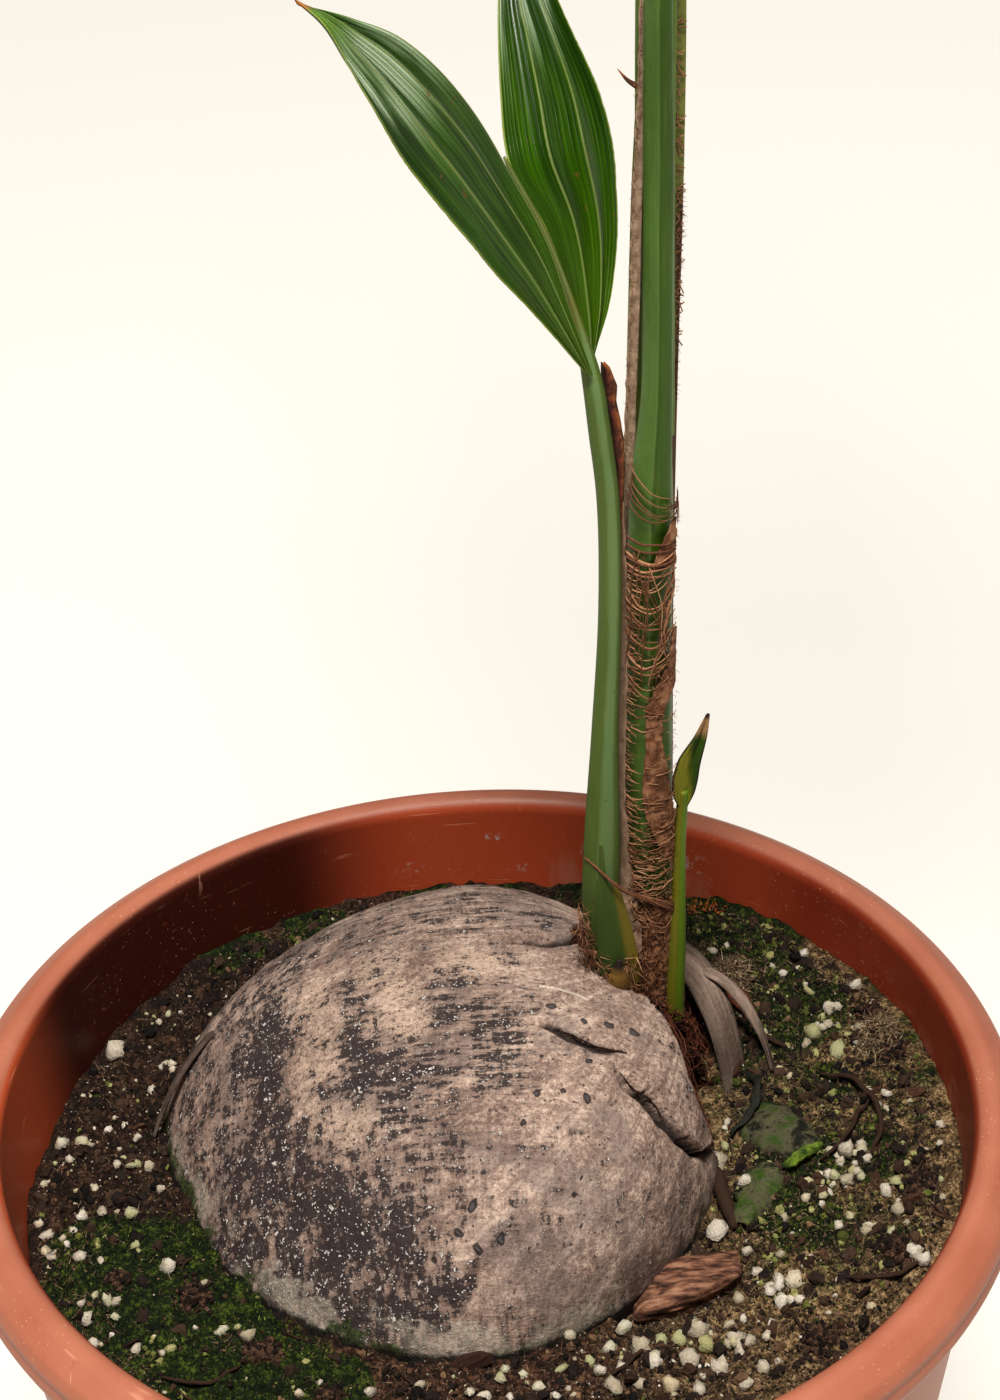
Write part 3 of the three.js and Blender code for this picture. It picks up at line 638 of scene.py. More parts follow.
def eased_corners(corners, sizes):
    """Each corner replaced by a quadratic curve that starts and ends a given distance from it."""
    corners = np.asarray(corners, float)
    before = unit(np.roll(corners, 1, 0) - corners) * np.asarray(sizes)[:, None]
    after = unit(np.roll(corners, -1, 0) - corners) * np.asarray(sizes)[:, None]
    t = np.linspace(0, 1, CORNER_STEPS)[:, None, None]
    curve = (1 - t) ** 2 * (corners + before) + 2 * t * (1 - t) * corners + t**2 * (corners + after)
    return curve.transpose(1, 0, 2).reshape(-1, 2)


def pot_profile():
    """The outline from the underside's edge, up the outside, over the lip and down the inside."""
    outside = [
        (FOOT_REACH, 0.0, 5.0), (OUTER_REACH, 280.0, 1.5), (203.2, 280.0, 0.8), (204.5, 283.7, 1.6),
        (203.2, 287.4, 0.9), (204.0, 291.1, 1.4), (201.7, 294.8, 1.0),
    ]
    rolled = np.radians(np.linspace(60, 180, 15))
    middle = INNER_REACH + ROLL_RADIUS
    lip = np.stack([middle + ROLL_RADIUS * np.cos(rolled), LIP + ROLL_RADIUS * np.sin(rolled)], 1)
    corners = [(0, 0)] + [p[:2] for p in outside] + [lip[0]]
    eased = eased_corners(corners, [0] + [p[2] for p in outside] + [0])
    inside = np.array([(inner_wall(z), z) for z in (260.0, 200.0, 100.0, 10.0)])
    floor_edge = np.array([(inner_wall(4) - 1.5, 5.0), (inner_wall(4) - 6, 4.0)])
    wall = eased[CORNER_STEPS:-CORNER_STEPS]
    return np.concatenate([[(60.0, 0.0)], wall, lip, inside, floor_edge, [(60.0, 4.0)]])


POT_TURNS = 288
profile = pot_profile()
turn = np.arange(POT_TURNS) / POT_TURNS * TAU
pot_form = loft(xyz(profile[:, :1] * np.cos(turn), profile[:, :1] * np.sin(turn), profile[:, 1:]))
print("pot profile points:", len(profile))

# %% The inner wall's painted shade and light
pot = Finish("terracotta_plastic")
height, rightward = pot.axis("Z"), pot.axis("X")
flat_place = pot.stretched(pot.place, (1, 1, 0))
facing = pot.node("ShaderNodeVectorMath", {"operation": "NORMALIZE"}, [flat_place])
radius = pot.node("ShaderNodeVectorMath", {"operation": "LENGTH"}, [flat_place], "Value")


def wall_side(x, y, low, high):
    """1 where the wall lies towards (x, y) by at least the cosine high, and 0 below the cosine low."""
    toward = [facing, (x, y, 0.0)]
    return pot.node("ShaderNodeVectorMath", {"operation": "DOT_PRODUCT"}, toward, "Value").within(low, high)


mottle = pot.noise(38, 4)
inside = (1 - (radius - (height - LIP) * INNER_SLOPE).within(185.4, 187.2)) * height.within(1, 3)
# The outer tone is the lit plastic; the inner wall is a darker copy of it as painted shade, with a painted
# shadow at the back left and painted light at the far left and at the back.
outer = pot.mix(mottle.within(0.3, 0.75), (173, 108, 84), (184, 120, 95))
inner = pot.over(
    pot.mix(mottle.within(0.3, 0.75), (136, 52, 27), (148, 63, 36)),
    (wall_side(-0.8, 0.6, 0.62, 0.94) * 0.9, (52, 13, 6)),
    (wall_side(-0.99, -0.12, 0.87, 0.99), (196, 92, 52)),
    (wall_side(0.2, 0.98, 0.78, 0.99), (192, 88, 52)),
)
print("the pot's inner and outer tones")

# %% Marks on the plastic
speck = pot.noise(2.2, 2)
drips = pot.noise(26, 4, 0.6, (1.0, 1.0, 0.35)).within(0.5, 0.62)
water_line = height.within(246, 262) * (1 - height.within(266, 281)) * drips * rightward.within(-40, 60)
salt = pot.noise(2.6, 4, 0.7).within(0.5, 0.6) * pot.noise(17, 3).within(0.52, 0.6)
salt = salt * wall_side(0.2, 0.98, 0.9, 0.97) * height.within(262, 268) * (1 - height.within(282, 288))
level_scratch = pot.noise(1.6, 2, 0.5, (0.05, 0.05, 1.0)).within(0.66, 0.72)
steep_scratch = pot.noise(2.4, 2, 0.5, (1.0, 0.08, 0.3)).within(0.68, 0.74)
wear = level_scratch.most(steep_scratch) * mottle.within(0.48, 0.6)
dust = (1 - pot.cells(2.4).within(0.08, 0.15)) * pot.noise(34, 4).within(0.5, 0.62)
base = pot.over(
    pot.mix(inside, outer, inner),
    (speck.within(0.62, 0.8) * 0.3, (156, 68, 40)),
    (inside * water_line * 0.3, (198, 160, 138)),
    (inside * salt * 0.8, (204, 192, 182)),
    (wear * 0.35, (226, 168, 140)),
    (dust * 0.5, (238, 196, 172)),
)
relief = pot.bump(wear, -0.12, 0.6, pot.bump(speck, 0.12, 0.5))
pot_material = pot.done(base, 0.36 + 0.2 * mottle + 0.12 * wear, relief, Specular_IOR_Level=0.45)
piece("pot_shell", pot_form, pot_material, ["pot"])

# %% [markdown]
# ## The potting mix
# The mix is dark and crumbly. It heaps up at the right and at the back, and coarser clods lie at
# the left and the back. A disc of rings carries its height: the frame's own waves plus fine
# noise, with the outer ring kept to the wall. Below it the body closes with a plain wall and floor.

# %% The mix's surface
SOIL_BASE = 4.5
MIX_LEVEL, RIGHT_HEAP, BACK_HEAP = -44, 21, 9


def area(x, y, rounds):
    """1 within any of the round areas (x, y, radius), falling to 0 round its edge."""
    total = np.zeros(np.shape(x))
    for px, py, radius in rounds:
        total = np.maximum(total, 1 - ease(np.hypot(x - px, y - py), 0.6 * radius, 1.15 * radius))
    return total


LEFT_MOSS = [
    (-130, -45, 34), (-105, -75, 34), (-150, -35, 26), (-125, -95, 40), (-80, -105, 34),
    (-160, -70, 30), (-112, -34, 16), (-60, -105, 20),
]
RIGHT_MOSS = [
    (98, 140, 24), (118, 122, 24), (122, 92, 22), (120, -10, 22), (106, -26, 18), (130, 70, 24),
    (120, -40, 18), (118, 62, 18), (110, 100, 26), (136, 30, 12), (112, 62, 20), (150, -10, 16),
]
BACK_MOSS = [(-24, 168, 16), (8, 172, 14), (44, 166, 18), (-110, 140, 20), (-75, 155, 18)]
RIGHT_CRUST = [(132, 40, 75), (130, -40, 50)]
CHIP_LINE = [(56, -68, 0), (90, -57, 0)]


def soil_waves(x, y):
    """The frame's own top: a level with two heaps, and slow waves over it."""
    right = ease(x + 0.35 * y, 40, 185) * RIGHT_HEAP
    back = ease(y, 40, 150) * BACK_HEAP
    waves = np.sin(x / 17 + 1.3) * np.cos(y / 21) + 0.6 * np.sin((x + y) / 11)
    return MIX_LEVEL + np.maximum(right, back) + waves * 1.1


def soil_top(x, y):
    """The mix's height above the lip: its waves, with crumbs of noise that fade at the wall."""
    flat = xyz(x, y, 0)
    crumbs = layered(flat, 15, 3, 3) * 2.2 + np.abs(layered(flat, 5.5, 9, 3)) * 2.8
    coarse = np.maximum(ease(-x, 60, 120), 0.7 * ease(y, 100, 150))
    clods = np.abs(layered(flat, 13, 17, 2)) * 4.0 * coarse
    fade = 1 - ease(np.hypot(x, y), 168, 178)
    under_chip = 1 - ease(near_line(flat, CHIP_LINE)[0], 7, 17)
    return soil_waves(x, y) + (crumbs + clods) * (0.6 + 0.4 * fade) - 1.0 - 6.0 * under_chip


SOIL_TURNS, SOIL_STEPS = 400, 140
turn = np.arange(SOIL_TURNS) / SOIL_TURNS * TAU
share = np.linspace(1, 0.01, SOIL_STEPS)[:, None]
reach = share * (inner_wall(LIP + soil_top(181 * np.cos(turn), 181 * np.sin(turn))) - 0.2)
soil_x, soil_y = reach * np.cos(turn), reach * np.sin(turn)
soil_rings = at(soil_x, soil_y, soil_top(soil_x, soil_y))
wall_z = np.array([SOIL_BASE, 60.0, 150.0])[:, None]
wall = xyz(inner_wall(wall_z) * np.cos(turn), inner_wall(wall_z) * np.sin(turn), wall_z)
wall[..., :2] *= 0.997
mossy = area(soil_x, soil_y, LEFT_MOSS + BACK_MOSS + RIGHT_MOSS)
mossy = np.maximum(mossy, 0.6 * area(soil_x, soil_y, RIGHT_CRUST + [(60, 150, 60)]))
moss = np.concatenate([np.zeros(wall.shape[:2]), mossy])
soil_form = loft(np.concatenate([wall, soil_rings]), moss=moss)
print("mix heights", soil_rings[..., 2].min().round(1), soil_rings[..., 2].max().round(1))

# %% The mix's finish
mix = Finish("potting_mix")
crumb = mix.noise(4.5, 4, 0.7)
fine = mix.noise(1.4, 3, 0.7)
damp = mix.noise(45, 3)
grainy = 0.5 * crumb + 0.5 * fine
across = mix.axis("X")
pale = mix.ramp(grainy, (0.4, (30, 23, 15)), (0.5, (106, 86, 58)), (0.62, (190, 164, 122)))
dots = (1 - mix.cells(2.4).within(0.1, 0.2)) * mix.noise(5, 2).within(0.5, 0.58)
green = mix.ramp(grainy, (0.4, (9, 14, 5)), (0.52, (32, 44, 14)), (0.62, (84, 96, 34)))
moss_share = (mix.value("moss") * 0.6 + 0.7 * mix.noise(12, 4, 0.65)).within(0.66, 0.82)
base = mix.over(
    mix.ramp(grainy, (0.38, (15, 11, 9)), (0.5, (58, 39, 29)), (0.64, (124, 92, 70))),
    (damp.within(0.45, 0.65) * 0.45, (30, 23, 19)),
    (across.within(20, 105) * 0.75, pale),
    # darker towards the far left: painted shade
    ((1 - across.within(-130, -50)) * 0.45, (12, 9, 7)),
    (dots * 0.8, (176, 166, 150)),
    (moss_share, green),
)
relief = mix.bump(fine, 0.9, 0.9, mix.bump(crumb, 2.2, 1.0))
mix_material = mix.done(base, 0.95 - 0.1 * fine, relief, Specular_IOR_Level=0.2)
piece("mix_body", soil_form, mix_material, ["soil"])

# %% [markdown]
# ## The husk
# The nut's husk is three-sided about its long axis, which tilts up towards the shoot. Each point
# is the frame's own reach in its direction, moved a little by ridges along the nut, by slow
# dents, by the cracks and by small pits. The torn mouth opens into a dark cup. The same distances
# also give the mesh its values for painted shade in the cracks, pits, charcoal patches and bare
# patches. The finish adds pale lichen and moss by height, and a painted shadow where the husk
# meets the mix.

# %% The husk's reach
HUSK_CENTRE = np.array([-21.0, 24.0, LIP - 66])
HUSK_HALF = np.array([122.0, 118.0, 98.0])
HUSK_TURN, HUSK_TILT, RIDGE_TURN = math.radians(19), math.radians(31), math.radians(163)
cos, sin = math.cos(HUSK_TURN), math.sin(HUSK_TURN)
spin = np.array([[cos, -sin, 0], [sin, cos, 0], [0, 0, 1]])
cos, sin = math.cos(HUSK_TILT), math.sin(HUSK_TILT)
HUSK_AXES = spin @ np.array([[cos, 0, -sin], [0, 1, 0], [sin, 0, cos]])
MOUTH = unit(np.array([93.0, 38.0, 64.0]))
MOUTH_SIDE = unit(np.cross([0.0, 0.0, 1.0], MOUTH))
MOUTH_UP = np.cross(MOUTH, MOUTH_SIDE)
MOUTH_HALF, MOUTH_TURN = math.radians(17.5), math.radians(80)


def husk_reach(toward):
    """The skin's distance from the nut's centre: an ellipsoid with three soft ridges along it."""
    own = toward @ HUSK_AXES
    side = np.hypot(own[..., 1], own[..., 2])
    ridges = np.cos(3 * (np.arctan2(own[..., 2], own[..., 1]) - RIDGE_TURN))
    return (1 + 0.048 * side * ridges) / np.linalg.norm(own / HUSK_HALF, axis=-1)


def mouth_rim(turn):
    """The mouth's half angle at a turn about its line: an oval with a torn, uneven edge."""
    torn = 0.05 * np.sin(5 * turn + 1) + 0.035 * np.sin(11 * turn) + 0.02 * np.sin(23 * turn + 2)
    return MOUTH_HALF * (1 + 0.29 * np.cos(2 * (turn - MOUTH_TURN)) + torn)


def husk_way(angle, turn):
    """The direction at an angle from the mouth's line and a turn about it."""
    ring = np.cos(turn)[..., None] * MOUTH_SIDE + np.sin(turn)[..., None] * MOUTH_UP
    return np.cos(angle)[..., None] * MOUTH + np.sin(angle)[..., None] * ring


print("the husk's reach towards its mouth:", husk_reach(MOUTH).round(1))


# %% Cracks, pits and patches of the husk
SPLIT = places([
    [17.4, 6.3, 32], [23.1, 4.2, 31.1], [32.9, -0.2, 28.6], [42.7, -3.8, 25.5], [52.8, -3.3, 21.6],
    [59, -3.4, 18.4],
])
PLATE = places([
    [49.1, -10, 21.7], [54.2, -16.8, 17.2], [61.8, -19.1, 11.6], [67, -23.5, 5], [73.5, -24.6, -3.3],
    [80.2, -22.4, -14], [84.5, -14, -18], [88, -5, -27],
])
EDGE = places([
    [66, 38, 18], [70.5, 28, 13.8], [74, 18, 11], [77.5, 1.2, 5], [80.5, -6, -2], [84.5, -13, -17],
    [90, -8, -30], [93, 0, -50],
])
SLIT = places([[7, 53, 36.5], [19, 50.5, 35], [27, 51.5, 33], [38, 57, 29], [46, 60, 24]])
SCRATCH = places([[22.6, 23.6, 33.2], [29.9, 22.8, 31.8], [37.5, 21.1, 29.6], [40.5, 19.7, 28.7]])
# A crack's line, the lift above it, the drop below it, its groove's depth and its reach.
CRACKS = [
    (SPLIT, 1.5, 1.3, 2.4, 8.0), (PLATE, 3.0, 2.8, 3.2, 15.0), (SLIT, 1.2, 1.4, 4.0, 10.0),
]
PITS = [
    (20, -27, 23, 2.0), (29, -25.5, 23, 1.7), (38, -27, 20, 2.5), (14, -38, 19, 1.8), (40, -11, 24.5, 2.2),
    (26, 12, 31.6, 2.6), (39, 7, 28, 2.0), (48, 8, 25, 2.4), (58, 8, 21, 2.6), (34, -54, 5, 1.1),
    (32, -59, 2, 1.2), (-4, -75, -8, 2.6), (4, -73, -6, 2.4), (-6, -64, 2, 2.6), (-11, -71, -4, 2.0),
    (9, -84, -21, 1.4), (34, -66, -6, 1.4), (-21, -76, -13, 2.0), (-26, -70, -8, 1.5), (22, -12, 28, 1.5),
]
CHARCOAL = [
    (-49, 29, 27, 8), (-49, 15, 25, 9), (-47, 3, 22, 12), (-41, -8, 21, 15), (-30, -19, 21, 13),
    (-20, -17, 24, 10), (-85, 35, 10, 9), (-87, 23, 6, 12), (-84, 6, 4, 11), (-11, 15, 33, 12),
    (-1, -4, 30, 12), (7, -14, 28, 11), (-59, -48, -6, 12), (-54, -59, -10, 15),
    (-59, -66, -20, 15), (-50, -81, -31, 14), (-62, -73, -30, 11), (-39, -81, -24, 11), (-81, -9, 0, 11),
    (-75, -21, -1, 12), (-90, -24, -16, 12), (-80, -36, -14, 11), (-97, -40, -35, 11), (-75, -63, -31, 11),
    (-27, -79, -17, 11), (-17, -82, -19, 10), (-26, -84, -23, 10), (-36, -66, -7, 9), (24, 66, 33, 6),
    (-35, -68, -8, 11), (-67, -50, -12, 12), (-85, -11, -4, 12), (-28, -83, -22, 13),
]
BARE = [
    (-65, 31, 21, 12), (-62, 15, 19, 12), (-67, 3, 13, 10), (-33, 21, 31, 13), (-28, 9, 30, 11),
    (-59, -20, 9, 11), (-51, -26, 10, 9), (-68, -54, -16, 6), (-54, -70, -21, 7), (-50, -76, -23, 8),
    (-38, 40, 31, 14), (-8, 34, 36, 14),
]


def beyond(skin, line, part):
    """1 on the left of a line down the skin and -1 on its right, seen from outside."""
    nearest = sampled(line, part)
    step = np.minimum((part * (len(line) - 1)).astype(int), len(line) - 2)
    across = np.cross(line[step + 1] - line[step], skin - nearest)
    return np.sign(np.sum(across * (nearest - HUSK_CENTRE), -1))


def husk_relief(skin, fibre_way):
    """How far each skin point moves out, and its values: dark, pit, charcoal, bare, scratch and torn.

    Ridges are noise drawn out along the fibres, which run from the mouth. At a crack the skin above
    is lifted and the skin below sunk, both fading as e^-(d/reach), with a groove under the edge.
    The groove and the skin below the plate's upper part and its nose carry painted shade in dark.
    """
    calm = ease(fibre_way[..., 2], 4.0, 12.0)
    ridges = 0.7 * waver(fibre_way, 16, 4) + 0.3 * layered(fibre_way, 6, 5, 2)
    rise = 1.3 * layered(skin, 52, 21, 2) + calm * ridges
    rise += 0.5 * layered(skin, 9, 61, 2)
    dark = np.zeros(rise.shape)
    ragged = skin + 0.6 * drift(skin, 8, (91, 92, 93), 2)
    for line, lift, drop, deep, reach in CRACKS:
        gap, part = near_line(ragged, line)
        side = gap * beyond(ragged, line, part)
        swell = ease(part, 0, 0.25) * (1 - ease(part, 0.5 if line is SPLIT else 0.8, 1.0))
        fade = np.exp(-gap / np.where(side > 0, reach, 0.6 * reach))
        rise += swell * np.where(side > 0, lift, -drop) * fade
        groove = swell * np.exp(-(((side + 1.1) / 1.3) ** 2))
        rise -= deep * groove
        # the groove's darkness is painted shade
        dark = np.maximum(dark, groove * ease(part, 0.05, 0.3))
        if line is PLATE:
            # a painted shadow on the skin below the plate's upper part and below its nose
            painted_recess_shadow = (1 - ease(part, 0.34, 0.5)) + ease(part, 0.72, 0.85)
            dark = np.maximum(dark, 0.42 * painted_recess_shadow * (side < 0) * np.exp(-((side / 5.5) ** 2)))
    gap, part = near_line(skin, EDGE)
    torn = (beyond(skin, EDGE, part) > 0) * ease(part, 0, 0.1) * (1 - ease(skin[..., 1], 62, 84))
    torn = torn * ease(gap, 0.2, 3.0) * (1 - ease(gap, 45, 70)) * (skin[..., 0] > 40)
    rise -= 24 * torn
    dented = (skin + 0.9 * drift(skin, 2.5, (81, 82, 83), 1)) * np.array([1.3, 1.3, 0.8])
    pits = spots(dented, [(1.3 * x, 1.3 * y, 0.8 * z, 0.85 * r) for x, y, z, r in places(PITS)], 0.4)
    rise -= 0.7 * pits
    scratch = np.exp(-((near_line(skin, SCRATCH)[0] / 0.45) ** 2))
    bent = skin + 5.0 * drift(skin, 11, (31, 41, 51))
    return rise, {
        "dark": dark, "pit": pits, "charcoal": spots(bent, places(CHARCOAL), 0.85),
        "bare": spots(bent, places(BARE), 0.8), "scratch": scratch, "torn": torn,
    }


print("pits", len(PITS), "charcoal patches", len(CHARCOAL), "bare patches", len(BARE))


# %% The husk's surface
HUSK_TURNS, CUP_ROWS, SKIN_ROWS = 372, 24, 222
even = np.arange(HUSK_TURNS) / HUSK_TURNS * TAU
turn = even - 0.55 * np.sin(even - math.radians(150))
rim = mouth_rim(turn)
cup = np.linspace(0.04, 1, CUP_ROWS, endpoint=False)[:, None]
probe = np.linspace(0, 1, 400)
crowd = np.cumsum(1 + 1.7 * np.exp(-(((probe - 0.15) / 0.1) ** 2)))
skin_share = np.interp(np.linspace(0, 0.999, SKIN_ROWS, endpoint=False), crowd / crowd[-1], probe)[:, None]
angle = np.concatenate([rim * cup, rim + (math.pi - rim) * skin_share])
way = husk_way(angle, np.broadcast_to(turn, angle.shape))
skin = HUSK_CENTRE + way * husk_reach(way)[..., None]
around = xyz(70 * np.cos(turn), 70 * np.sin(turn), 9 * angle)
rise, husk_values = husk_relief(skin, around)
husk_values.update(around_x=around[..., 0], around_y=around[..., 1], along=around[..., 2])
sink = 36 * (1 - np.clip((cup - 0.42) / 0.58, 0, 1) ** 2.2)
hollow = np.concatenate([sink + 0 * rim, np.zeros((SKIN_ROWS, HUSK_TURNS))])
husk_values["inside"] = np.maximum(ease(hollow, 0.5, 9), ease(husk_values.pop("torn"), 0.1, 0.5))
fray = 1.6 * layered(skin, 4, 71) * np.exp(-(((angle - rim) / 0.035) ** 2))
skin = skin + way * (rise * (hollow < 0.5) + fray - hollow)[..., None]
husk_form = loft(skin, **husk_values)
print("husk points", len(husk_form.points))

# %% Torn strips of the husk


def strip(path, facing, width, taper, curl, thickness, rows=60, columns=14, **values):
    """A thin closed strip on a cubic Bezier path: across = path x facing, its edges curled by v^2."""
    p = np.asarray(path, float)
    t = np.linspace(0, 1, rows)[:, None]
    spine = (1 - t) ** 3 * p[0] + 3 * t * (1 - t) ** 2 * p[1] + 3 * t**2 * (1 - t) * p[2] + t**3 * p[3]
    along = unit(np.gradient(spine, axis=0))
    across = unit(np.cross(along, unit(np.asarray(facing, float))))
    out = np.cross(across, along)
    half = width / 2 * (1 - taper * t**2) * (0.75 + 0.35 * np.sin(np.pi * t))
    v = np.linspace(-1, 1, columns)
    grid = spine[:, None] + across[:, None] * (v * half)[..., None] - out[:, None] * (curl * v**2)[:, None]
    ridge = 0.35 * waver(xyz(v * 7, t * 5, 0), 1, 5)
    marks = {"around_x": v * half + 90, "along": 7.0 * t, "torn_strip": 1.0, "rim": v**2, "low": t}
    return slab(grid + out[:, None] * ridge[..., None], thickness, **{**marks, **values})


flap_path = places([[61, 92, -12], [83, 86, 14], [97.5, 65, -6], [101, 37, -38]])
left_path = places([[-94, 66, -8], [-112, 58, -8], [-128, 42, -22], [-134, 24, -38]])
flap = strip(flap_path, (0.35, -0.6, 0.72), 12.5, -0.1, 1.2, 1.4)
left_strip = strip(left_path, (-0.7, 0.1, 0.7), 7, 0.6, 0.3, 0.8, low=0.8)
prong_path = places([[90, 74, -3], [103, 68, -4], [112, 57, -15], [115.5, 39, -28]])
prong = strip(prong_path, (0.6, -0.4, 0.7), 6.5, 0.6, 0.6, 1.0)
print("strips:", len(flap.points) + len(left_strip.points) + len(prong.points), "points")

# %% Patterns for the husk's finish
husk = Finish("weathered_husk")
around_values = [husk.value(name) for name in ("around_x", "around_y", "along")]
around_place = husk.node("ShaderNodeCombineXYZ", None, around_values)
streak = husk.noise(6, 5, 0.62, around_place)
hairs = husk.noise(1.6, 4, 0.6, around_place)
blotch = husk.noise(26, 5, 0.62)
small = husk.noise(6, 5, 0.7)
fine = husk.noise(1.9, 4, 0.72).within(0.34, 0.66)
pinpoint = husk.noise(0.75, 2, 0.6)
upright = husk.noise(4.2, 5, 0.7, (1.0, 0.3, 0.3)).within(0.35, 0.65)
level_strokes = husk.noise(3.2, 4, 0.7, (0.17, 1.0, 1.0)).within(0.35, 0.65)
height = husk.axis("Z") - LIP
leftward = 1 - husk.axis("X").within(-35, 35)
top = height.within(2, 26)
strokes = 0.3 * fine + (0.42 - 0.2 * top) * upright + (0.28 + 0.2 * top) * level_strokes
print("patterns drawn out round the nut, upright and level")

# %% Patches of the husk
rubbed = (husk.value("bare") * 0.45 + strokes).within(0.66, 0.9)
speckle = (1 - husk.cells(3.2).within(0.12, 0.2)) * husk.noise(11, 3).within(0.42, 0.56)
broad = husk.noise(34, 3).within(0.4, 0.6)
# A darkening at the husk's lower left is painted shade; the burnt mask takes it in, and it also darkens
# towards the left as a whole.
painted_shade_low_left = leftward * (1 - height.within(-28, 2))
burnt = painted_shade_low_left * 0.1 + husk.value("charcoal") * 0.27 + leftward * 0.2
burnt = burnt + broad * 0.14 - husk.value("bare") * 0.16 + strokes
flecks = (1 - husk.cells(1.7).within(0.14, 0.3)) * husk.noise(5, 3).within(0.4, 0.56)
flecks = flecks.most(husk.noise(2.4, 3, 0.7, (1.0, 1.0, 0.6)).within(0.6, 0.65))
low_front = (1 - leftward) * (1 - height.within(-40, -12)) * strokes.within(0.35, 0.6)
white = flecks * burnt.within(0.7, 0.88)
above = height + 8 * (blotch - 0.5) + 26 * (small - 0.5)
lichen = (1 - above.within(-33, -29)) * (0.3 + 0.7 * fine) * husk.noise(22, 3).within(0.4, 0.56)
moss = (1 - above.within(-40, -37)) * (husk.noise(24, 3).within(0.42, 0.52) * (0.3 + 0.6 * leftward))
# A dark band at the husk's foot, where it meets the mix, is a painted shadow.
painted_contact_shadow = 1 - (height + 8 * (small - 0.5)).within(-43, -40)
pit = husk.value("pit")
print("rubbed, burnt, pale and mossy patches")

# %% The husk's colours, laid one over another
strip_tone = 0.55 * streak + 0.45 * hairs
strip_base = husk.over(
    husk.ramp(strip_tone, (0.38, (92, 76, 66)), (0.5, (142, 123, 109)), (0.62, (184, 164, 148))),
    (husk.value("rim").within(0.5, 1.0) * 0.6, (74, 58, 48)),
    ((husk.value("low") + 0.6 * (streak - 0.5)).within(0.5, 0.9) * 0.85, (58, 45, 38)),
)
cavity_tone = husk.mix(hairs.within(0.4, 0.65), (22, 12, 9), (92, 50, 34))
tone = 0.4 * streak + 0.4 * blotch + 0.2 * fine
base = husk.over(
    husk.ramp(tone, (0.36, (118, 98, 88)), (0.5, (172, 149, 135)), (0.64, (212, 190, 173))),
    (husk.noise(40, 3).within(0.5, 0.62) * 0.5, (120, 108, 104)),
    (rubbed * 0.75, (200, 176, 156)),
    (pinpoint.within(0.58, 0.64) * 0.6, (96, 76, 68)),
    (hairs.within(0.52, 0.66) * 0.35, (120, 99, 88)),
    ((1 - hairs.within(0.32, 0.44)) * 0.3, (206, 184, 168)),
    (speckle * 0.85, (66, 54, 50)),
    (burnt.within(0.55, 0.85) * 0.5, (106, 86, 78)),
    (burnt.within(0.8, 0.98) * 0.9, (48, 40, 41)),
    (low_front * 0.7, (70, 55, 47)),
    (white * 0.95, (212, 204, 196)),
    (lichen * 0.75, (186, 176, 160)),
    (moss, husk.mix(fine, (20, 28, 12), (78, 92, 44))),
    # painted shadow at the husk's foot
    (painted_contact_shadow * 0.95, (20, 13, 10)),
    (husk.value("scratch") * 0.9, (232, 220, 206)),
    (pit.within(0.2, 0.5) * 0.9, (38, 32, 32)),
    (pit.within(0.7, 0.95), (88, 82, 83)),
    # painted shade in the cracks and below the plate
    (husk.value("dark").within(0.15, 0.7) * 0.9, (34, 23, 18)),
    (husk.value("torn_strip") * 0.9, strip_base),
    (husk.value("inside"), cavity_tone),
)
relief = husk.bump(streak, 0.6, 0.8)
relief = husk.bump(hairs, 0.25, 0.7, relief)
relief = husk.bump(white + strokes, 0.6, 0.8, relief)
husk_material = husk.done(base, 0.84 - 0.12 * hairs, relief, Specular_IOR_Level=0.25)
piece("husk_skin", join(husk_form, flap, left_strip, prong), husk_material, ["husk"])

# %% [markdown]
# ## Stalks
# A leaf stalk is a profile carried along a smooth path: round or keeled at its back, flat or
# hollow at its front. Its sections are the frame's own, with many more of them, and the rib that
# carries the blade goes on from it without a break. The skin is waxy, so it is satin, with faint
# lengthwise lines. Two greens meet along it; where the left one is paler and greyer it is a
# painted reflection, and a paler edge is a painted highlight.

# %% A stalk along its path


def stalk(rows, turn, count, sides, keel=0.0):
    """Sections [x, y, z, width, depth, channel] along a smooth path, as one closed body.

    With t round the section: sideways cos t times half the width, outward sin t times a share of
    the depth, 0.62 at the back and 0.38 less the channel in front. A keel replaces part of the
    back's sin t by 1 - |cos t|, which has a ridge.
    """
    fine = through(rows, count)
    along = unit(np.gradient(fine[:, :3], axis=0))
    side = unit(np.cross([math.cos(turn), math.sin(turn), 0.0], along))[:, None]
    out = np.cross(along[:, None], side)
    t = np.arange(sides) / sides * TAU
    wide, deep, channel = (np.maximum(fine[:, i, None], 0.0) for i in (3, 4, 5))
    ridge = np.sin(t) * (1 - keel) + (1 - np.abs(np.cos(t))) * keel
    reach = np.where(np.sin(t) > 0, ridge * deep * 0.62, np.sin(t) * (deep * 0.38 - channel))
    across = np.cos(t) * wide / 2
    rings = fine[:, None, :3] + side * across[..., None] + out * reach[..., None]
    return loft(rings, left=0.5 + 0.5 * np.cos(t), share=np.linspace(0, 1, count)[:, None])


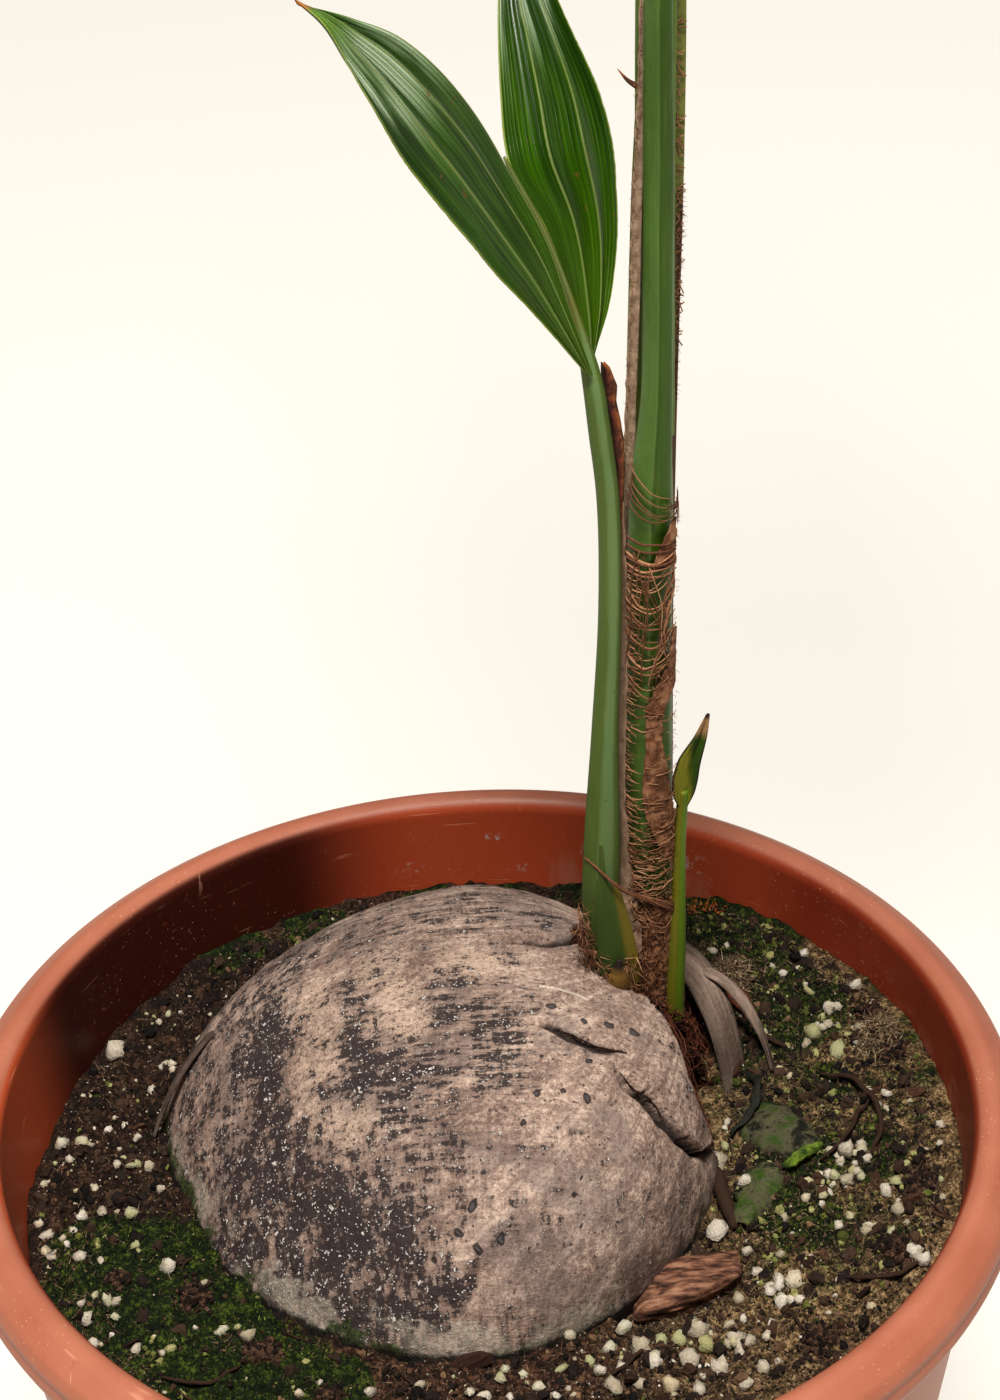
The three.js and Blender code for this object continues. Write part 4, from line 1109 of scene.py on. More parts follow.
def leaf_axis(leaf, s):
    """The place at a share s of a leaf: 40 steps, tilted from its lean to its bend by u^1.4, summed."""
    u = (np.arange(40) + 0.5) / 40
    tilt = leaf["lean"] + (leaf["bend"] - leaf["lean"]) * u**1.4
    turn = leaf["turn"]
    step = np.stack([np.sin(tilt) * math.cos(turn), np.sin(tilt) * math.sin(turn), np.cos(tilt)], 1)
    spine = np.concatenate([[[0, 0, 0]], np.cumsum(step, 0)]) * leaf["length"] / 40
    spine = spine + np.array(leaf["foot"]) + np.array([0, 0, LIP])
    return sampled(spine, s)


def rib_width(leaf, s):
    """The rib narrows evenly to 0.38 of its width at the fork."""
    return leaf["rib"] * (1 - 0.62 * np.minimum(1, s / leaf["fork"]))


LEAVES = {
    2: dict(
        stalk=[
            [67, 51, -48, 9, 8, 3], [66.8, 51, 10, 16.4, 13.2, 4.5], [65.6, 51, 50, 18.4, 14, 5.3],
            [65.6, 51, 120, 18.2, 14, 5.3], [66, 51, 190, 16.4, 12.5, 4.7], [66.8, 51, 238, 14.6, 11, 4.2],
            [68.6, 51, 270, 11.2, 9.5, 3.6], [69, 51, 350, 10.2, 8.6, 3.2], [68.8, 50.6, 408, 9.3, 8, 3],
            [69.4, 46, 520, 8.6, 7.4, 2],
        ],
        foot=(70.4, 27, 640), turn=-math.pi * 0.46, stalk_turn=-math.pi / 2, lean=0.2, bend=1.5,
        length=470, width=62, fork=0.55, spread=66, droop=0.35, rib=7.4, keel=0.45,
    ),
    3: dict(
        stalk=[
            [66, 64, -48, 9, 8, 3], [67, 64, 10, 15, 12, 4.5], [66.4, 64, 60, 19, 13, 4.9],
            [66.6, 64, 190, 18.6, 12, 4.5], [68.4, 64, 270, 17, 10.5, 4], [70.2, 64, 350, 16.6, 9.6, 3.6],
            [70.6, 64.4, 408, 16.4, 9, 3.4], [71, 69, 540, 11, 8, 2.5],
        ],
        foot=(72, 92, 680), turn=math.pi * 0.53, stalk_turn=math.pi / 2, lean=0.24, bend=1.62,
        length=500, width=66, fork=0.55, spread=74, droop=0.4, rib=8, keel=0.3,
    ),
    4: dict(
        stalk=[
            [71.3, 57.5, 251, 4.6, 6.6, 0.6], [71.3, 57.5, 408, 4.6, 6.4, 0.6], [75, 58, 560, 5.6, 6, 0.6],
        ],
        foot=(90, 59, 700), turn=0.06, stalk_turn=0.06, lean=0.22, bend=1.35,
        length=440, width=56, fork=0.58, spread=56, droop=0.3, rib=6.4, keel=0.2,
    ),
    5: dict(
        stalk=[
            [60.4, 57.5, 251, 5.2, 4, 0.3], [62.3, 57.5, 335, 3.8, 3.4, 0.3],
            [64.6, 57.5, 408, 3.2, 3.2, 0.3], [57, 58, 560, 5.4, 4.6, 0.4],
        ],
        foot=(40, 59, 690), turn=math.pi * 1.05, stalk_turn=math.pi, lean=0.2, bend=1.2,
        length=400, width=50, fork=0.6, spread=48, droop=0.28, rib=6, keel=0.2,
    ),
}


def stalk_rows(leaf):
    """The stalk's sections, then those of the rib, which narrows to the fork."""
    s = np.linspace(0, leaf["fork"], 9)
    width = rib_width(leaf, s)
    rib = np.column_stack([leaf_axis(leaf, s), width, 0.95 * width, 0.5 + 0 * s])
    lead = rib[0].copy()
    lead[:3] -= unit(rib[1, :3] - rib[0, :3]) * 14
    return np.concatenate([places(leaf["stalk"]), [lead], rib])


stalk_forms = {
    k: stalk(stalk_rows(leaf), leaf["stalk_turn"], 260, 40, leaf["keel"]) for k, leaf in LEAVES.items()
}
print("stalk points", {k: len(form.points) for k, form in stalk_forms.items()})

# %% The waxy skin of a stalk


def waxy(name, left, right, dark, rough=0.36, low=(), frayed=0.0):
    """A stalk's skin: two greens across it, fine lengthwise lines, darker flecks and a paler edge.
    A paler left green is a painted reflection, and the paler edge a painted highlight.

    low is a colour that takes over towards the foot, frayed a brown edge below the open sheath.
    """
    skin = Finish(name)
    lines = skin.noise(0.9, 4, 0.6, (1.0, 1.0, 0.03))
    clouds = skin.noise(14, 4, 0.6, (1.0, 1.0, 0.3))
    fleck = skin.noise(1.3, 2, 0.5, (1.0, 1.0, 0.35))
    height = skin.axis("Z") - LIP
    side = skin.value("left") + 0.12 * (clouds - 0.5)
    crease = side.within(0.4, 0.48) * (1 - side.within(0.48, 0.52))
    base = skin.over(
        # The left green, where it is paler and greyer, is a painted reflection.
        skin.mix(side.within(0.46, 0.52), right, left),
        (crease * 0.5, dark),
        (clouds.within(0.4, 0.75) * 0.45, dark),
        (lines.within(0.5, 0.75) * 0.3, (132, 138, 62)),
        # The paler edge is a painted highlight.
        ((1 - side.within(0.01, 0.08)) * 0.6, (122, 148, 100)),
        (fleck.within(0.68, 0.76) * 0.5, (92, 74, 40)),
    )
    if low:
        yellow = (skin.value("margin") + 0.5 * (clouds - 0.5)).within(0.2, 0.75)
        base = skin.over(base, ((1 - height.within(10, 110)) * 0.55, low), (yellow * 0.9, (126, 112, 38)))
    if frayed:
        brown = (side + 0.5 * (lines - 0.5)).within(0.84, 0.93) * (1 - height.within(318, 352))
        base = skin.mix(brown * frayed, base, (112, 82, 62))
    relief = skin.bump(clouds, 0.6, 0.3, skin.bump(lines, 0.25, 0.6))
    wax = dict(Specular_IOR_Level=0.32, Coat_Weight=0.05, Coat_Roughness=0.3)
    return skin.done(base, rough + 0.2 * clouds, relief, **wax)


# Olive's paler, greyer left half is a painted reflection.
olive = waxy("waxy_olive", (94, 124, 58), (64, 98, 0), (44, 68, 0))
deep_green = waxy("waxy_deep_green", (136, 140, 72), (118, 132, 58), (84, 100, 32), frayed=1.0)
fresh_green = waxy("waxy_fresh_green", (104, 136, 34), (116, 144, 44), (80, 112, 18))
sheath_green = waxy("waxy_sheath_green", (120, 118, 30), (100, 128, 30), (84, 96, 18))
first_green = waxy("waxy_first_green", (84, 106, 48), (92, 112, 50), (58, 82, 28), 0.5, (34, 58, 10))
for k, green in ((2, olive), (3, deep_green), (4, fresh_green), (5, deep_green)):
    piece(f"petiole_{k}", stalk_forms[k], green, [f"stalk_{k}", f"rib_{k}"])

# %% [markdown]
# ## The hidden stem and the first leaf's stalk
# The stem is hardly seen between the stalks. The first leaf's stalk is broad and flat at its
# foot, where a thin sheath with a yellow edge reaches round the front of the shoot.

# %% Stem and first stalk
stem_rows = places([
    [66, 56.6, -48, 9, 9, 0], [67, 56.6, 20, 11, 7.6, 0], [68.8, 56.6, 120, 11, 7.6, 0],
    [68.8, 56.6, 248, 10, 7.6, 0], [68.8, 56.6, 250, 8, 6, 0],
])
piece("inner_stem", stalk(stem_rows, -math.pi / 2, 60, 28), fresh_green, ["stem"])
first_rows = places([
    [60, 46, -20, 6, 6, 1], [53, 43.2, 16, 8, 10, 0.4], [50.6, 43.4, 32, 10, 13, 0.4],
    [48.8, 43.4, 53, 12, 14.6, 0.4], [49.4, 42, 82, 10, 14.6, 0.4], [50.9, 41, 138, 8.4, 11.0, 1],
    [52.8, 41, 190, 8.0, 9.2, 0.8], [52.3, 41, 235, 7.6, 8.6, 0.6], [49.5, 41, 263, 7.2, 8.4, 0.6],
    [47.1, 41, 281, 6.4, 7.4, 0.4], [41.6, 42.6, 304, 3.4, 3.4, 0.4], [31.4, 44.0, 334, 2.6, 2.4, 0.3],
    [21.4, 43.6, 355, 2.0, 1.9, 0.1], [18.6, 43.2, 361, 1.0, 1.0, 0.0],
])
first_stalk = stalk(first_rows, math.pi, 220, 40, 0.15)
first_stalk.values["margin"] = 0.45 * ease(first_stalk.points[:, 2] - LIP, 284, 304)
h = np.linspace(14, 90, 50)
margin_x = np.interp(h, [14, 21, 26, 41, 56, 66, 80, 90], [58, 61.7, 62.3, 59.8, 56.7, 53.8, 51.0, 49.2])
start_x = np.interp(h, [14, 32, 53, 90], [47, 45.5, 44.5, 46])
q = np.linspace(0, 1, 18)
wing_x = start_x[:, None] + (margin_x - start_x)[:, None] * q
wing_y = 38.2 - 1.3 * np.sin(np.pi * q) + 1.2 * q
wing = slab(at(wing_x, wing_y, h[:, None])[::-1], 0.9, left=1 - 0.5 * q, margin=ease(q, 0.45, 1.0))
piece("petiole_1", join(first_stalk, wing), first_green, ["stalk_1"])

# %% [markdown]
# ## Leaf blades
# A seedling's leaf is not yet cut into leaflets: two long lobes part at a fork, folded like a fan
# along their veins. A lobe is a grid between its inner and outer edges. It is crowned across its
# width, folded by a cosine, and closed as a thin sheet. The skin is glossy and dark, with pale
# veins and a yellow-green margin; a painted sheen lies on one side of each fold and a painted
# highlight towards the tip.

# %% A lobe between its two edges


def lobe(inner, outer, hand, crown, pleat, thickness, tear=0.0):
    """Rows across from inner to outer edge, raised along the normal.

    Rise = crown x width x 4q(1 - q), plus pleats (cos 6 pi q - 1) and finer veins cos 48 pi q.
    """
    rows, columns = len(inner), 97
    q = np.linspace(0, 1, columns)
    across = outer - inner
    width = np.linalg.norm(across, axis=1, keepdims=True)
    along = np.gradient(inner + outer, axis=0)
    normal = unit(np.cross(along, across)) * hand
    narrow = np.minimum(1, width / 20)
    s = np.linspace(0, 1, rows)[:, None]
    rise = crown * width * 4 * q * (1 - q) + (np.cos(6 * np.pi * q) - 1) * pleat * narrow
    rise = rise + 0.1 * narrow * np.cos(48 * np.pi * q)
    flat = xyz(s * 9, q * 2, 0)
    rise = rise + 0.6 * narrow * waver(flat, 1.0, rows)
    edge = 1 - tear * ease(q, 0.9, 1.0) * np.abs(waver(flat * np.array([7, 0, 0]), 1.0, 9))
    grid = inner[:, None] + across[:, None] * (q * edge)[..., None] + normal[:, None] * rise[..., None]
    thin = thickness * (0.35 + 0.65 * np.sin(np.pi * np.clip(q, 0.04, 0.96)) ** 0.5) + 0 * s
    return slab(grid, thin, q=q, s=s)


def open_lobe(leaf, hand):
    """A lobe of an open leaf: reach from the axis to the side, sagging with reach and distance."""
    s = np.linspace(0, 1, 110)
    side = np.array([-math.sin(leaf["turn"]), math.cos(leaf["turn"]), 0.0]) * hand
    parted = np.maximum(0, s - leaf["fork"]) / (1 - leaf["fork"])
    near = rib_width(leaf, s) / 2 + 0.3 + leaf["spread"] * parted**1.25
    far = near + 3 + leaf["width"] * np.sin(np.pi * s**0.72) ** 0.85
    edges = []
    for reach in (near, far):
        edge = leaf_axis(leaf, s) + side * reach[:, None]
        edge[:, 2] -= leaf["droop"] * reach * (0.5 + 0.5 * s)
        edges.append(edge)
    return lobe(*edges, hand, 0.07, 1.6, 0.9, 0.02)


print("an open lobe has", len(open_lobe(LEAVES[2], 1).points), "points")


# %% The blades' finish


def blade(name, dark, light, margin, dry):
    """Glossy leaf skin: folds in two greens, pale veins, a yellow-green margin, a dry tip, and a painted
    sheen and highlight.
    """
    leaf = Finish(name)
    q, s = leaf.value("q"), leaf.value("s")
    clouds = leaf.noise(26, 4, 0.6)
    fine = leaf.noise(1.2, 3, 0.6)
    streak = leaf.noise(1.0, 3, 0.6, leaf.node("ShaderNodeCombineXYZ", None, [q * 55, s * 2.5, 0.0]))
    vein = (q * (24 * TAU)).math("COSINE").within(0.75, 1.0)
    fold = (q * (3 * TAU)).math("COSINE").within(0.955, 1.0)
    drawn = leaf.noise(1.0, 3, 0.55, leaf.node("ShaderNodeCombineXYZ", None, [q * 5, s * 2.0, 0.0]))
    # A painted sheen lies on one side of each fold, and a painted highlight towards the tip.
    painted_sheen = (q * (3 * TAU)).math("SINE").within(-0.3, 0.9) * drawn.within(0.4, 0.58)
    painted_highlight = s.within(0.6, 0.78) * (1 - s.within(0.84, 0.93))
    painted_highlight = painted_highlight * streak.within(0.34, 0.56) * drawn.within(0.42, 0.58)
    edge = (1 - q.within(0.0, 0.014)).most(q.within(0.982, 0.992))
    fleck = leaf.noise(3.4, 3, 0.6, (1.0, 1.0, 0.5)).within(0.7, 0.73)
    tip = (s + 0.03 * (clouds - 0.5)).within(0.965, 0.985)
    base = leaf.over(
        leaf.mix((0.55 * drawn + 0.45 * streak).within(0.4, 0.6), dark, light),
        ((1 - s.within(0.0, 0.45)) * 0.45, (92, 124, 0)),
        (painted_sheen * (0.06 + 0.6 * s.within(0.5, 0.8)), (130, 166, 88)),
        (streak.within(0.52, 0.68) * 0.25, (84, 108, 26)),
        (painted_highlight * 0.8, (196, 210, 186)),
        (vein * 0.2, (90, 116, 34)),
        (fold * 0.75, (138, 152, 88)),
        (edge * 0.85, margin),
        (fleck * 0.7, (122, 84, 44)),
        (tip * dry, (168, 112, 62)),
    )
    relief = leaf.bump(fine, 0.12, 0.5, leaf.bump(vein, 0.22, 0.8))
    rough = 0.26 + 0.18 * clouds + 0.3 * tip
    return leaf.done(base, rough, relief, Specular_IOR_Level=0.26, Coat_Weight=0.05)


crown_blade = blade("crown_blade", (26, 54, 0), (52, 86, 2), (132, 146, 62), 1.0)
first_blade = blade("first_blade", (28, 58, 0), (56, 96, 0), (142, 156, 70), 1.0)
for k, leaf in LEAVES.items():
    for hand, side in ((1, "left"), (-1, "right")):
        piece(f"blade_{k}_{side}", open_lobe(leaf, hand), crown_blade, [f"leaf_{k}_{side}"])

# %% The low leaf's two lobes
FIRST_LEAF = {
    "front": (
        1,
        [
            [46, 37, 285], [30, 41.5, 335], [19, 40, 358], [7, 28, 385], [-11, 9, 412], [-25, -5, 424],
            [-40, -18, 433],
        ],
        [
            [44, 36, 286], [27, 22, 314], [7, 2, 348], [-11, -12, 380], [-22, -20, 405], [-32, -22, 427],
            [-41, -19, 435],
        ],
    ),
    "back": (
        -1,
        [[46, 46.3, 285], [31, 46.8, 335], [20, 46.9, 356], [18, 66, 373], [18, 86, 392], [22, 118, 426]],
        [[47, 47.3, 287], [53, 58, 303], [57, 78, 331], [53, 97, 358], [38, 112, 392], [23, 120, 428]],
    ),
}
for side, (hand, inner, outer) in FIRST_LEAF.items():
    form = lobe(through(places(inner), 150), through(places(outer), 150), hand, 0.05, 1.1, 0.7, 0.006)
    piece(f"first_blade_{side}", form, first_blade, [f"leaf_1_{side}"])

# %% The folded spear
spear_rows = places([
    [66.1, 57.5, 251, 4.6, 6.2, 0], [66.1, 57.5, 408, 4.6, 6.2, 0], [65, 57.6, 640, 7, 8, 0],
    [62, 58, 860, 9, 9, 0], [57, 58.5, 1000, 6, 6, 0], [53, 59, 1074, 1.2, 1.2, 0],
])
piece("spear", stalk(spear_rows, -math.pi / 2, 200, 32, 0.5), fresh_green, ["spear_leaf"])

# %% [markdown]
# ## The short sheath leaf
# At the right of the shoot stands a pale stem that ends in a small folded blade. Its left half
# is yellow-green with a dark margin, its right half dark green, and its tip is dry.

# %% Sheath leaf
sheath_stem = stalk(places([
    [77, 46, -50, 6, 5, 0.4], [76.0, 44.4, -2, 7.4, 4.6, 0.4], [76.0, 44.4, 12, 7.6, 4.6, 0.5],
    [76.6, 45.0, 32, 7.0, 4.4, 0.8], [77.2, 46.6, 56, 5.8, 4.2, 0.8], [77.6, 48.6, 79, 5.0, 3.9, 0.8],
    [78.4, 50, 94, 4.6, 3.6, 1.0], [79.2, 50, 104, 3.4, 3, 0.6],
]), -math.pi / 2, 90, 24)
fold_line = [[79.5, 50.4, 97], [80.8, 50.6, 106], [82.2, 50.8, 117], [85, 50.6, 127], [88, 50, 138.3]]
left_edge = [
    [77.2, 48.5, 97], [74.8, 47.6, 104], [76.2, 47.4, 118], [82.6, 48.4, 129], [87.4, 49.6, 138.4],
]
right_edge = [
    [80.6, 49.2, 97], [83.2, 48.4, 104], [85.4, 48.2, 118], [87.6, 48.8, 129], [88.6, 49.8, 138.2],
]
fold = through(places(fold_line), 60)
blades = [
    lobe(fold, through(places(edge), 60), hand, 0.06, 0.12, 0.5)
    for edge, hand in ((left_edge, 1), (right_edge, -1))
]
sheath_blade = Finish("sheath_blade")
q, s = sheath_blade.value("q"), sheath_blade.value("s")
clouds = sheath_blade.noise(5, 4)
side_x = sheath_blade.axis("X")
base = sheath_blade.over(
    sheath_blade.mix((side_x + 2 * (clouds - 0.5)).within(80, 83), (142, 140, 38), (58, 86, 14)),
    ((q + 0.1 * (clouds - 0.5)).within(0.86, 0.95) * 0.9, (42, 26, 16)),
    ((s + 0.1 * (clouds - 0.5)).within(0.72, 0.84) * 0.9, (176, 140, 98)),
    (s.within(0.93, 0.98), (60, 40, 26)),
)
lines = (q * (9 * TAU)).math("COSINE")
sheath_material = sheath_blade.done(base, 0.42 + 0.2 * clouds, sheath_blade.bump(lines, 0.15, 0.7))
piece("sheath_stem", sheath_stem, sheath_green, ["sheath_leaf"])
piece("sheath_blades", join(*blades), sheath_material)

# %% [markdown]
# ## The fibre that wraps the shoot
# A palm's leaf sheath dries into a net of brown threads round the shoot. Each thread is a thin
# round cord whose path is given by x and height and laid on the shoot's oval, so that it hugs
# what carries it. Some threads sag across from the left margin to the right, some are short
# stubs like a comb's teeth, and felt fills the places between them.

# %% The shoot's oval
SHOOT_X, SHOOT_Y, SHOOT_WIDE, SHOOT_DEEP = 65.8, 51.0, 9.3, 8.8


def on_shoot(x, h, off):
    """A point in front of the shoot: an oval of half width 9.3 and half depth 8.8, plus an offset.

    Above 190 mm the oval narrows and moves right, as the outer stalks do.
    """
    x, h, off = np.broadcast_arrays(np.asarray(x, float), h, off)
    taper = ease(h, 190, 272)
    wide, deep = SHOOT_WIDE - 3.6 * taper + off, SHOOT_DEEP - 2.9 * taper + off
    share = np.clip((x - SHOOT_X - 2.8 * taper) / wide, -0.97, 0.97)
    return at(SHOOT_X + 2.8 * taper + share * wide, SHOOT_Y - deep * np.sqrt(1 - share**2), h)


def threads(rng, starts, ends, sag, radius, off=1.0, steps=14, wild=0.5, tint=(0, 1)):
    """Threads between places (xs, heights): straight, lowered by sag x 4t(1 - t), wandering at random."""
    starts, ends = (np.stack(np.broadcast_arrays(*end), 1).astype(float) for end in (starts, ends))
    count = len(starts)
    t = np.linspace(0, 1, steps)
    way = starts[:, None] + (ends - starts)[:, None] * t[None, :, None]
    way[..., 1] -= np.broadcast_to(sag, count)[:, None] * 4 * t * (1 - t)
    bend = rng.normal(0, wild, (count, 4, 2))
    for k in range(4):
        way += bend[:, k, None] * np.sin((k + 1) * np.pi * t)[None, :, None] / (k + 1)
    lift = np.broadcast_to(off, count)[:, None] + rng.uniform(-0.4, 0.5, (count, 1)) + 0 * t
    path = on_shoot(way[..., 0], way[..., 1], lift)
    thick = np.broadcast_to(radius, count)[:, None] * (1 - 0.55 * t**2)
    return cords(path, thick, 5, tint=rng.uniform(*tint, count))


def curls(rng, starts, radius, climb, thick, tint):
    """Curling threads: a circle in a random plane whose centre drifts as its radius shrinks."""
    count = len(starts)
    t = np.linspace(0, 1, 12)[None, :, None]
    frame_of = any_turn(rng, count)
    around = t * TAU * rng.uniform(0.5, 0.9, (count, 1, 1))
    size = radius * rng.uniform(0.6, 1.4, (count, 1, 1)) * (1 - 0.5 * t)
    first, second, third = (frame_of[:, None, k] for k in range(3))
    path = starts[:, None] + size * (np.cos(around) * first + np.sin(around) * second)
    path = path - size[:, :1] * first + climb * t * third
    shades = np.clip(tint + rng.normal(0, 0.2, count), 0, 1)
    return cords(path, thick * (1 - 0.6 * t[0, :, 0]), 5, tint=shades)


def sheet_on_shoot(left, right, heights, off, thickness, rows=60, columns=12, rough=0.4, seed=1):
    """A thin closed patch on the oval between two edges x(h), with a ragged rim and a rough skin."""
    h = np.linspace(heights[0], heights[-1], rows)[:, None]
    q = np.linspace(0, 1, columns)
    left_x, right_x = np.interp(h, heights, left), np.interp(h, heights, right)
    ragged = rough * 1.4 * waver(xyz(h, 9 * q, 0), 2.2, seed)
    x = left_x + (right_x - left_x) * q + ragged * np.abs(2 * q - 1) ** 3
    skin_noise = waver(xyz(x, h, 0), 1.8, seed + 3)
    grid = on_shoot(x, h, off + rough * skin_noise)
    return slab(grid, thickness, tint=0.5 + 0.4 * skin_noise)


rng = np.random.default_rng(11)
print("the shoot's front at 100 mm:", on_shoot(66, 100, 0).round(1))

# %% Swoops, wraps and swags of the net
top_swoops = threads(
    rng, ([55.0, 55.2, 55.6, 56, 57], [243, 240, 237, 234, 246]),
    ([75.8, 76.6, 76.2, 75.4, 75.0], [229, 227.5, 226, 225, 232]),
    [4.5, 5, 5, 4, 2.5], 0.3, 1.2, 22, 0.5, (0.3, 0.7),
)
KNOT_THREADS, WRAPS, SWAGS, BANDS, LENGTHWISE = 26, 6, 19, 9, 12
KNOT = np.array([76.2, 227.5])
star = rng.normal(0, 1, (KNOT_THREADS, 2)) * np.array([2.2, 2.6])
star_knot = threads(rng, np.tile(KNOT, (KNOT_THREADS, 1)).T, (KNOT + star * 1.6).T, 0.3, 0.2, 1.4, 8)
wrap_h = np.linspace(217, 205, WRAPS)
tight_wrap = threads(
    rng, (55.6, wrap_h), (75.4, wrap_h - rng.uniform(0, 4, WRAPS)),
    rng.uniform(1, 3, WRAPS), 0.55, 1.3, 22, 0.8,
)
swag_h = np.linspace(206, 160, SWAGS) + rng.normal(0, 0.8, SWAGS)
swags = threads(
    rng, (57.0 + rng.uniform(-0.6, 1.0, SWAGS), swag_h),
    (rng.uniform(72, 75.6, SWAGS), swag_h - rng.uniform(-3, 3, SWAGS)),
    rng.uniform(3, 7.5, SWAGS), rng.uniform(0.26, 0.46, SWAGS), 1.1, 22, 0.7, (0.5, 1),
)
band_h = np.linspace(202, 170, BANDS)
diagonal = threads(
    rng, (np.linspace(74.8, 72.5, BANDS), band_h + 6), (np.linspace(73, 65, BANDS), band_h - 14),
    rng.uniform(-1, 1.5, BANDS), 0.4, 1.3, 16, 0.8, (0.35, 0.9),
)
lengthwise = threads(
    rng, (rng.uniform(58, 74, LENGTHWISE), rng.uniform(196, 214, LENGTHWISE)),
    (rng.uniform(57, 74, LENGTHWISE), rng.uniform(150, 178, LENGTHWISE)), 0.0, 0.25, 1.4, 16, 0.9,
)
print("long threads:", sum(len(f.tris) for f in (top_swoops, tight_wrap, swags, diagonal)) // 10)

# %% Short stubs along the margin and across the shoot
margin_h = np.array([30, 44, 57, 81, 104, 140, 171, 192, 208, 225, 242])
margin_right = np.array([62.6, 62.6, 61.4, 58.4, 56.6, 57.1, 57.9, 57.7, 57.4, 56.7, 56.1])
COMB, CROSS, LOW = 190, 150, 170
comb_h = rng.uniform(60, 212, COMB)
comb_x = np.interp(comb_h, margin_h, margin_right) - 0.6
comb = threads(
    rng, (comb_x, comb_h), (comb_x + rng.uniform(1.5, 6.5, COMB), comb_h - rng.uniform(-1.0, 3.0, COMB)),
    rng.uniform(-0.8, 1.2, COMB), rng.uniform(0.14, 0.28, COMB), 1.0, 8, 0.5, (0.4, 1),
)
cross_h = np.concatenate([rng.uniform(62, 106, 100), rng.uniform(28, 150, 50)])
cross_x = rng.uniform(57, 70, CROSS)
cross = threads(
    rng, (cross_x, cross_h), (cross_x + rng.uniform(3, 9, CROSS), cross_h + rng.normal(0.6, 1.4, CROSS)),
    rng.uniform(-1, 1.5, CROSS), rng.uniform(0.16, 0.32, CROSS), 1.3, 8, 0.5, (0.3, 1),
)
low_h = rng.uniform(2, 62, LOW)
low_x = rng.uniform(58, 75, LOW)
low = threads(
    rng, (low_x, low_h), (low_x + rng.normal(0, 3.5, LOW), low_h - rng.uniform(3, 13, LOW)),
    rng.uniform(-2, 2, LOW), rng.uniform(0.16, 0.34, LOW), 1.5, 9, 0.8, (0, 0.6),
)
print("stubs:", sum(len(f.tris) for f in (comb, cross, low)) // 10)

# %% Felt, margin and collar
felt_h = [76, 88, 98, 110, 118, 128, 132, 143, 147, 155, 165, 178]
felt = sheet_on_shoot(
    [72.8, 67.8, 64, 62.9, 63.4, 64, 64.1, 64.3, 64.4, 67.7, 72.8, 74.4],
    [75.4, 75.4, 75, 73.4, 72.3, 70.9, 70.3, 70.3, 71.5, 75.2, 75.4, 75.5],
    felt_h, 0.9, 0.7, 150, 26, 0.2, 5,
)
upper_felt = sheet_on_shoot([66, 68, 71, 74], [75.4] * 4, [205, 211, 217, 223], 0.8, 0.5, 30, 34, 0.3, 8)
low_felt = sheet_on_shoot(
    [61, 60, 62, 63.5, 64, 66], [75.4, 75.4, 75.4, 75.2, 75.2, 75], [0, 12, 24, 34, 48, 57],
    0.9, 0.8, 70, 30, 0.45, 12,
)
h = np.linspace(30, 242, 160)
q = np.linspace(0, 1, 9)
margin_left = np.interp(h, margin_h, [58.5, 57, 54.5, 53, 53.5, 54.5, 55, 55.2, 54.9, 54.3, 52.8])
right_x = np.interp(h, margin_h, margin_right)
margin_x = margin_left[:, None] + (right_x - margin_left)[:, None] * q
margin_y = 46.4 - 2.0 * q + 0.3 * np.sin(h / 9)[:, None] - 3.4 * ease(-h, -75, -35)[:, None]
margin_y = margin_y + 0.5 * waver(xyz(margin_x, h[:, None] / 3, 0), 1.6, 7)
ragged = 0.5 * waver(xyz(margin_x, h[:, None], 0), 2.4, 17) * (q > 0.9)
margin_strip = slab(at(margin_x + ragged, margin_y, h[:, None])[::-1], 0.6, tint=0.7)
collar_path = through(places([
    [40.9, 40, 81.2], [45.4, 37.5, 77.9], [49.6, 36, 73.9], [53.4, 36, 69.9], [58, 37.2, 65.7],
    [65.6, 39.5, 60.4], [70.9, 41.5, 56.9], [75.2, 45, 53],
]), 60)
t = np.linspace(0, 1, 60)
STRANDS = 30
turns = t * rng.uniform(3, 9, (STRANDS, 1)) + rng.uniform(0, TAU, (STRANDS, 1))
wide = (0.25 + 2.1 * t**1.3) * rng.uniform(0.2, 1, (STRANDS, 1))
strands = collar_path + wide[..., None] * xyz(0, -0.35 - 0.35 * np.sin(turns), np.cos(turns))
collar = cords(strands, 0.34 * (1 - 0.3 * t), 6, tint=rng.uniform(0.2, 0.9, STRANDS))
HANGING = 26
hanging_low = threads(
    rng, (rng.uniform(57, 74, HANGING), rng.uniform(50, 58, HANGING)),
    (rng.uniform(60, 75, HANGING), rng.uniform(42, 54, HANGING)),
    rng.uniform(1, 4, HANGING), 0.26, 1.6, 16, 0.9,
)
print("felt points", len(felt.points))

# %% Strips and threads beside the upper stalks
strip_h = np.linspace(202, 407, 190)
strip_keys = [202, 218, 235, 247, 266, 285, 304, 322, 340, 357, 374, 387, 407]
left_keys = [55.4, 56.2, 57.1, 57.8, 58.2, 59, 59.8, 60.2, 60.5, 61.6, 62.2, 62.9, 63.4]
right_keys = [60, 60.6, 61, 61.4, 61.8, 62.5, 63.2, 63.6, 64, 64.6, 65, 65, 65]
strip_left = np.interp(strip_h, strip_keys, left_keys)
strip_right = np.interp(strip_h, strip_keys, right_keys)
strip_x = strip_left[:, None] + (strip_right - strip_left)[:, None] * q
strip_noise = waver(xyz(strip_x * 3, strip_h[:, None], 0), 3.0, 19)
strip_x = strip_x - 0.7 * np.abs(strip_noise) * (q < 0.1)
strip_grid = at(strip_x, 55 + 0.3 * strip_noise, strip_h[:, None])[::-1]
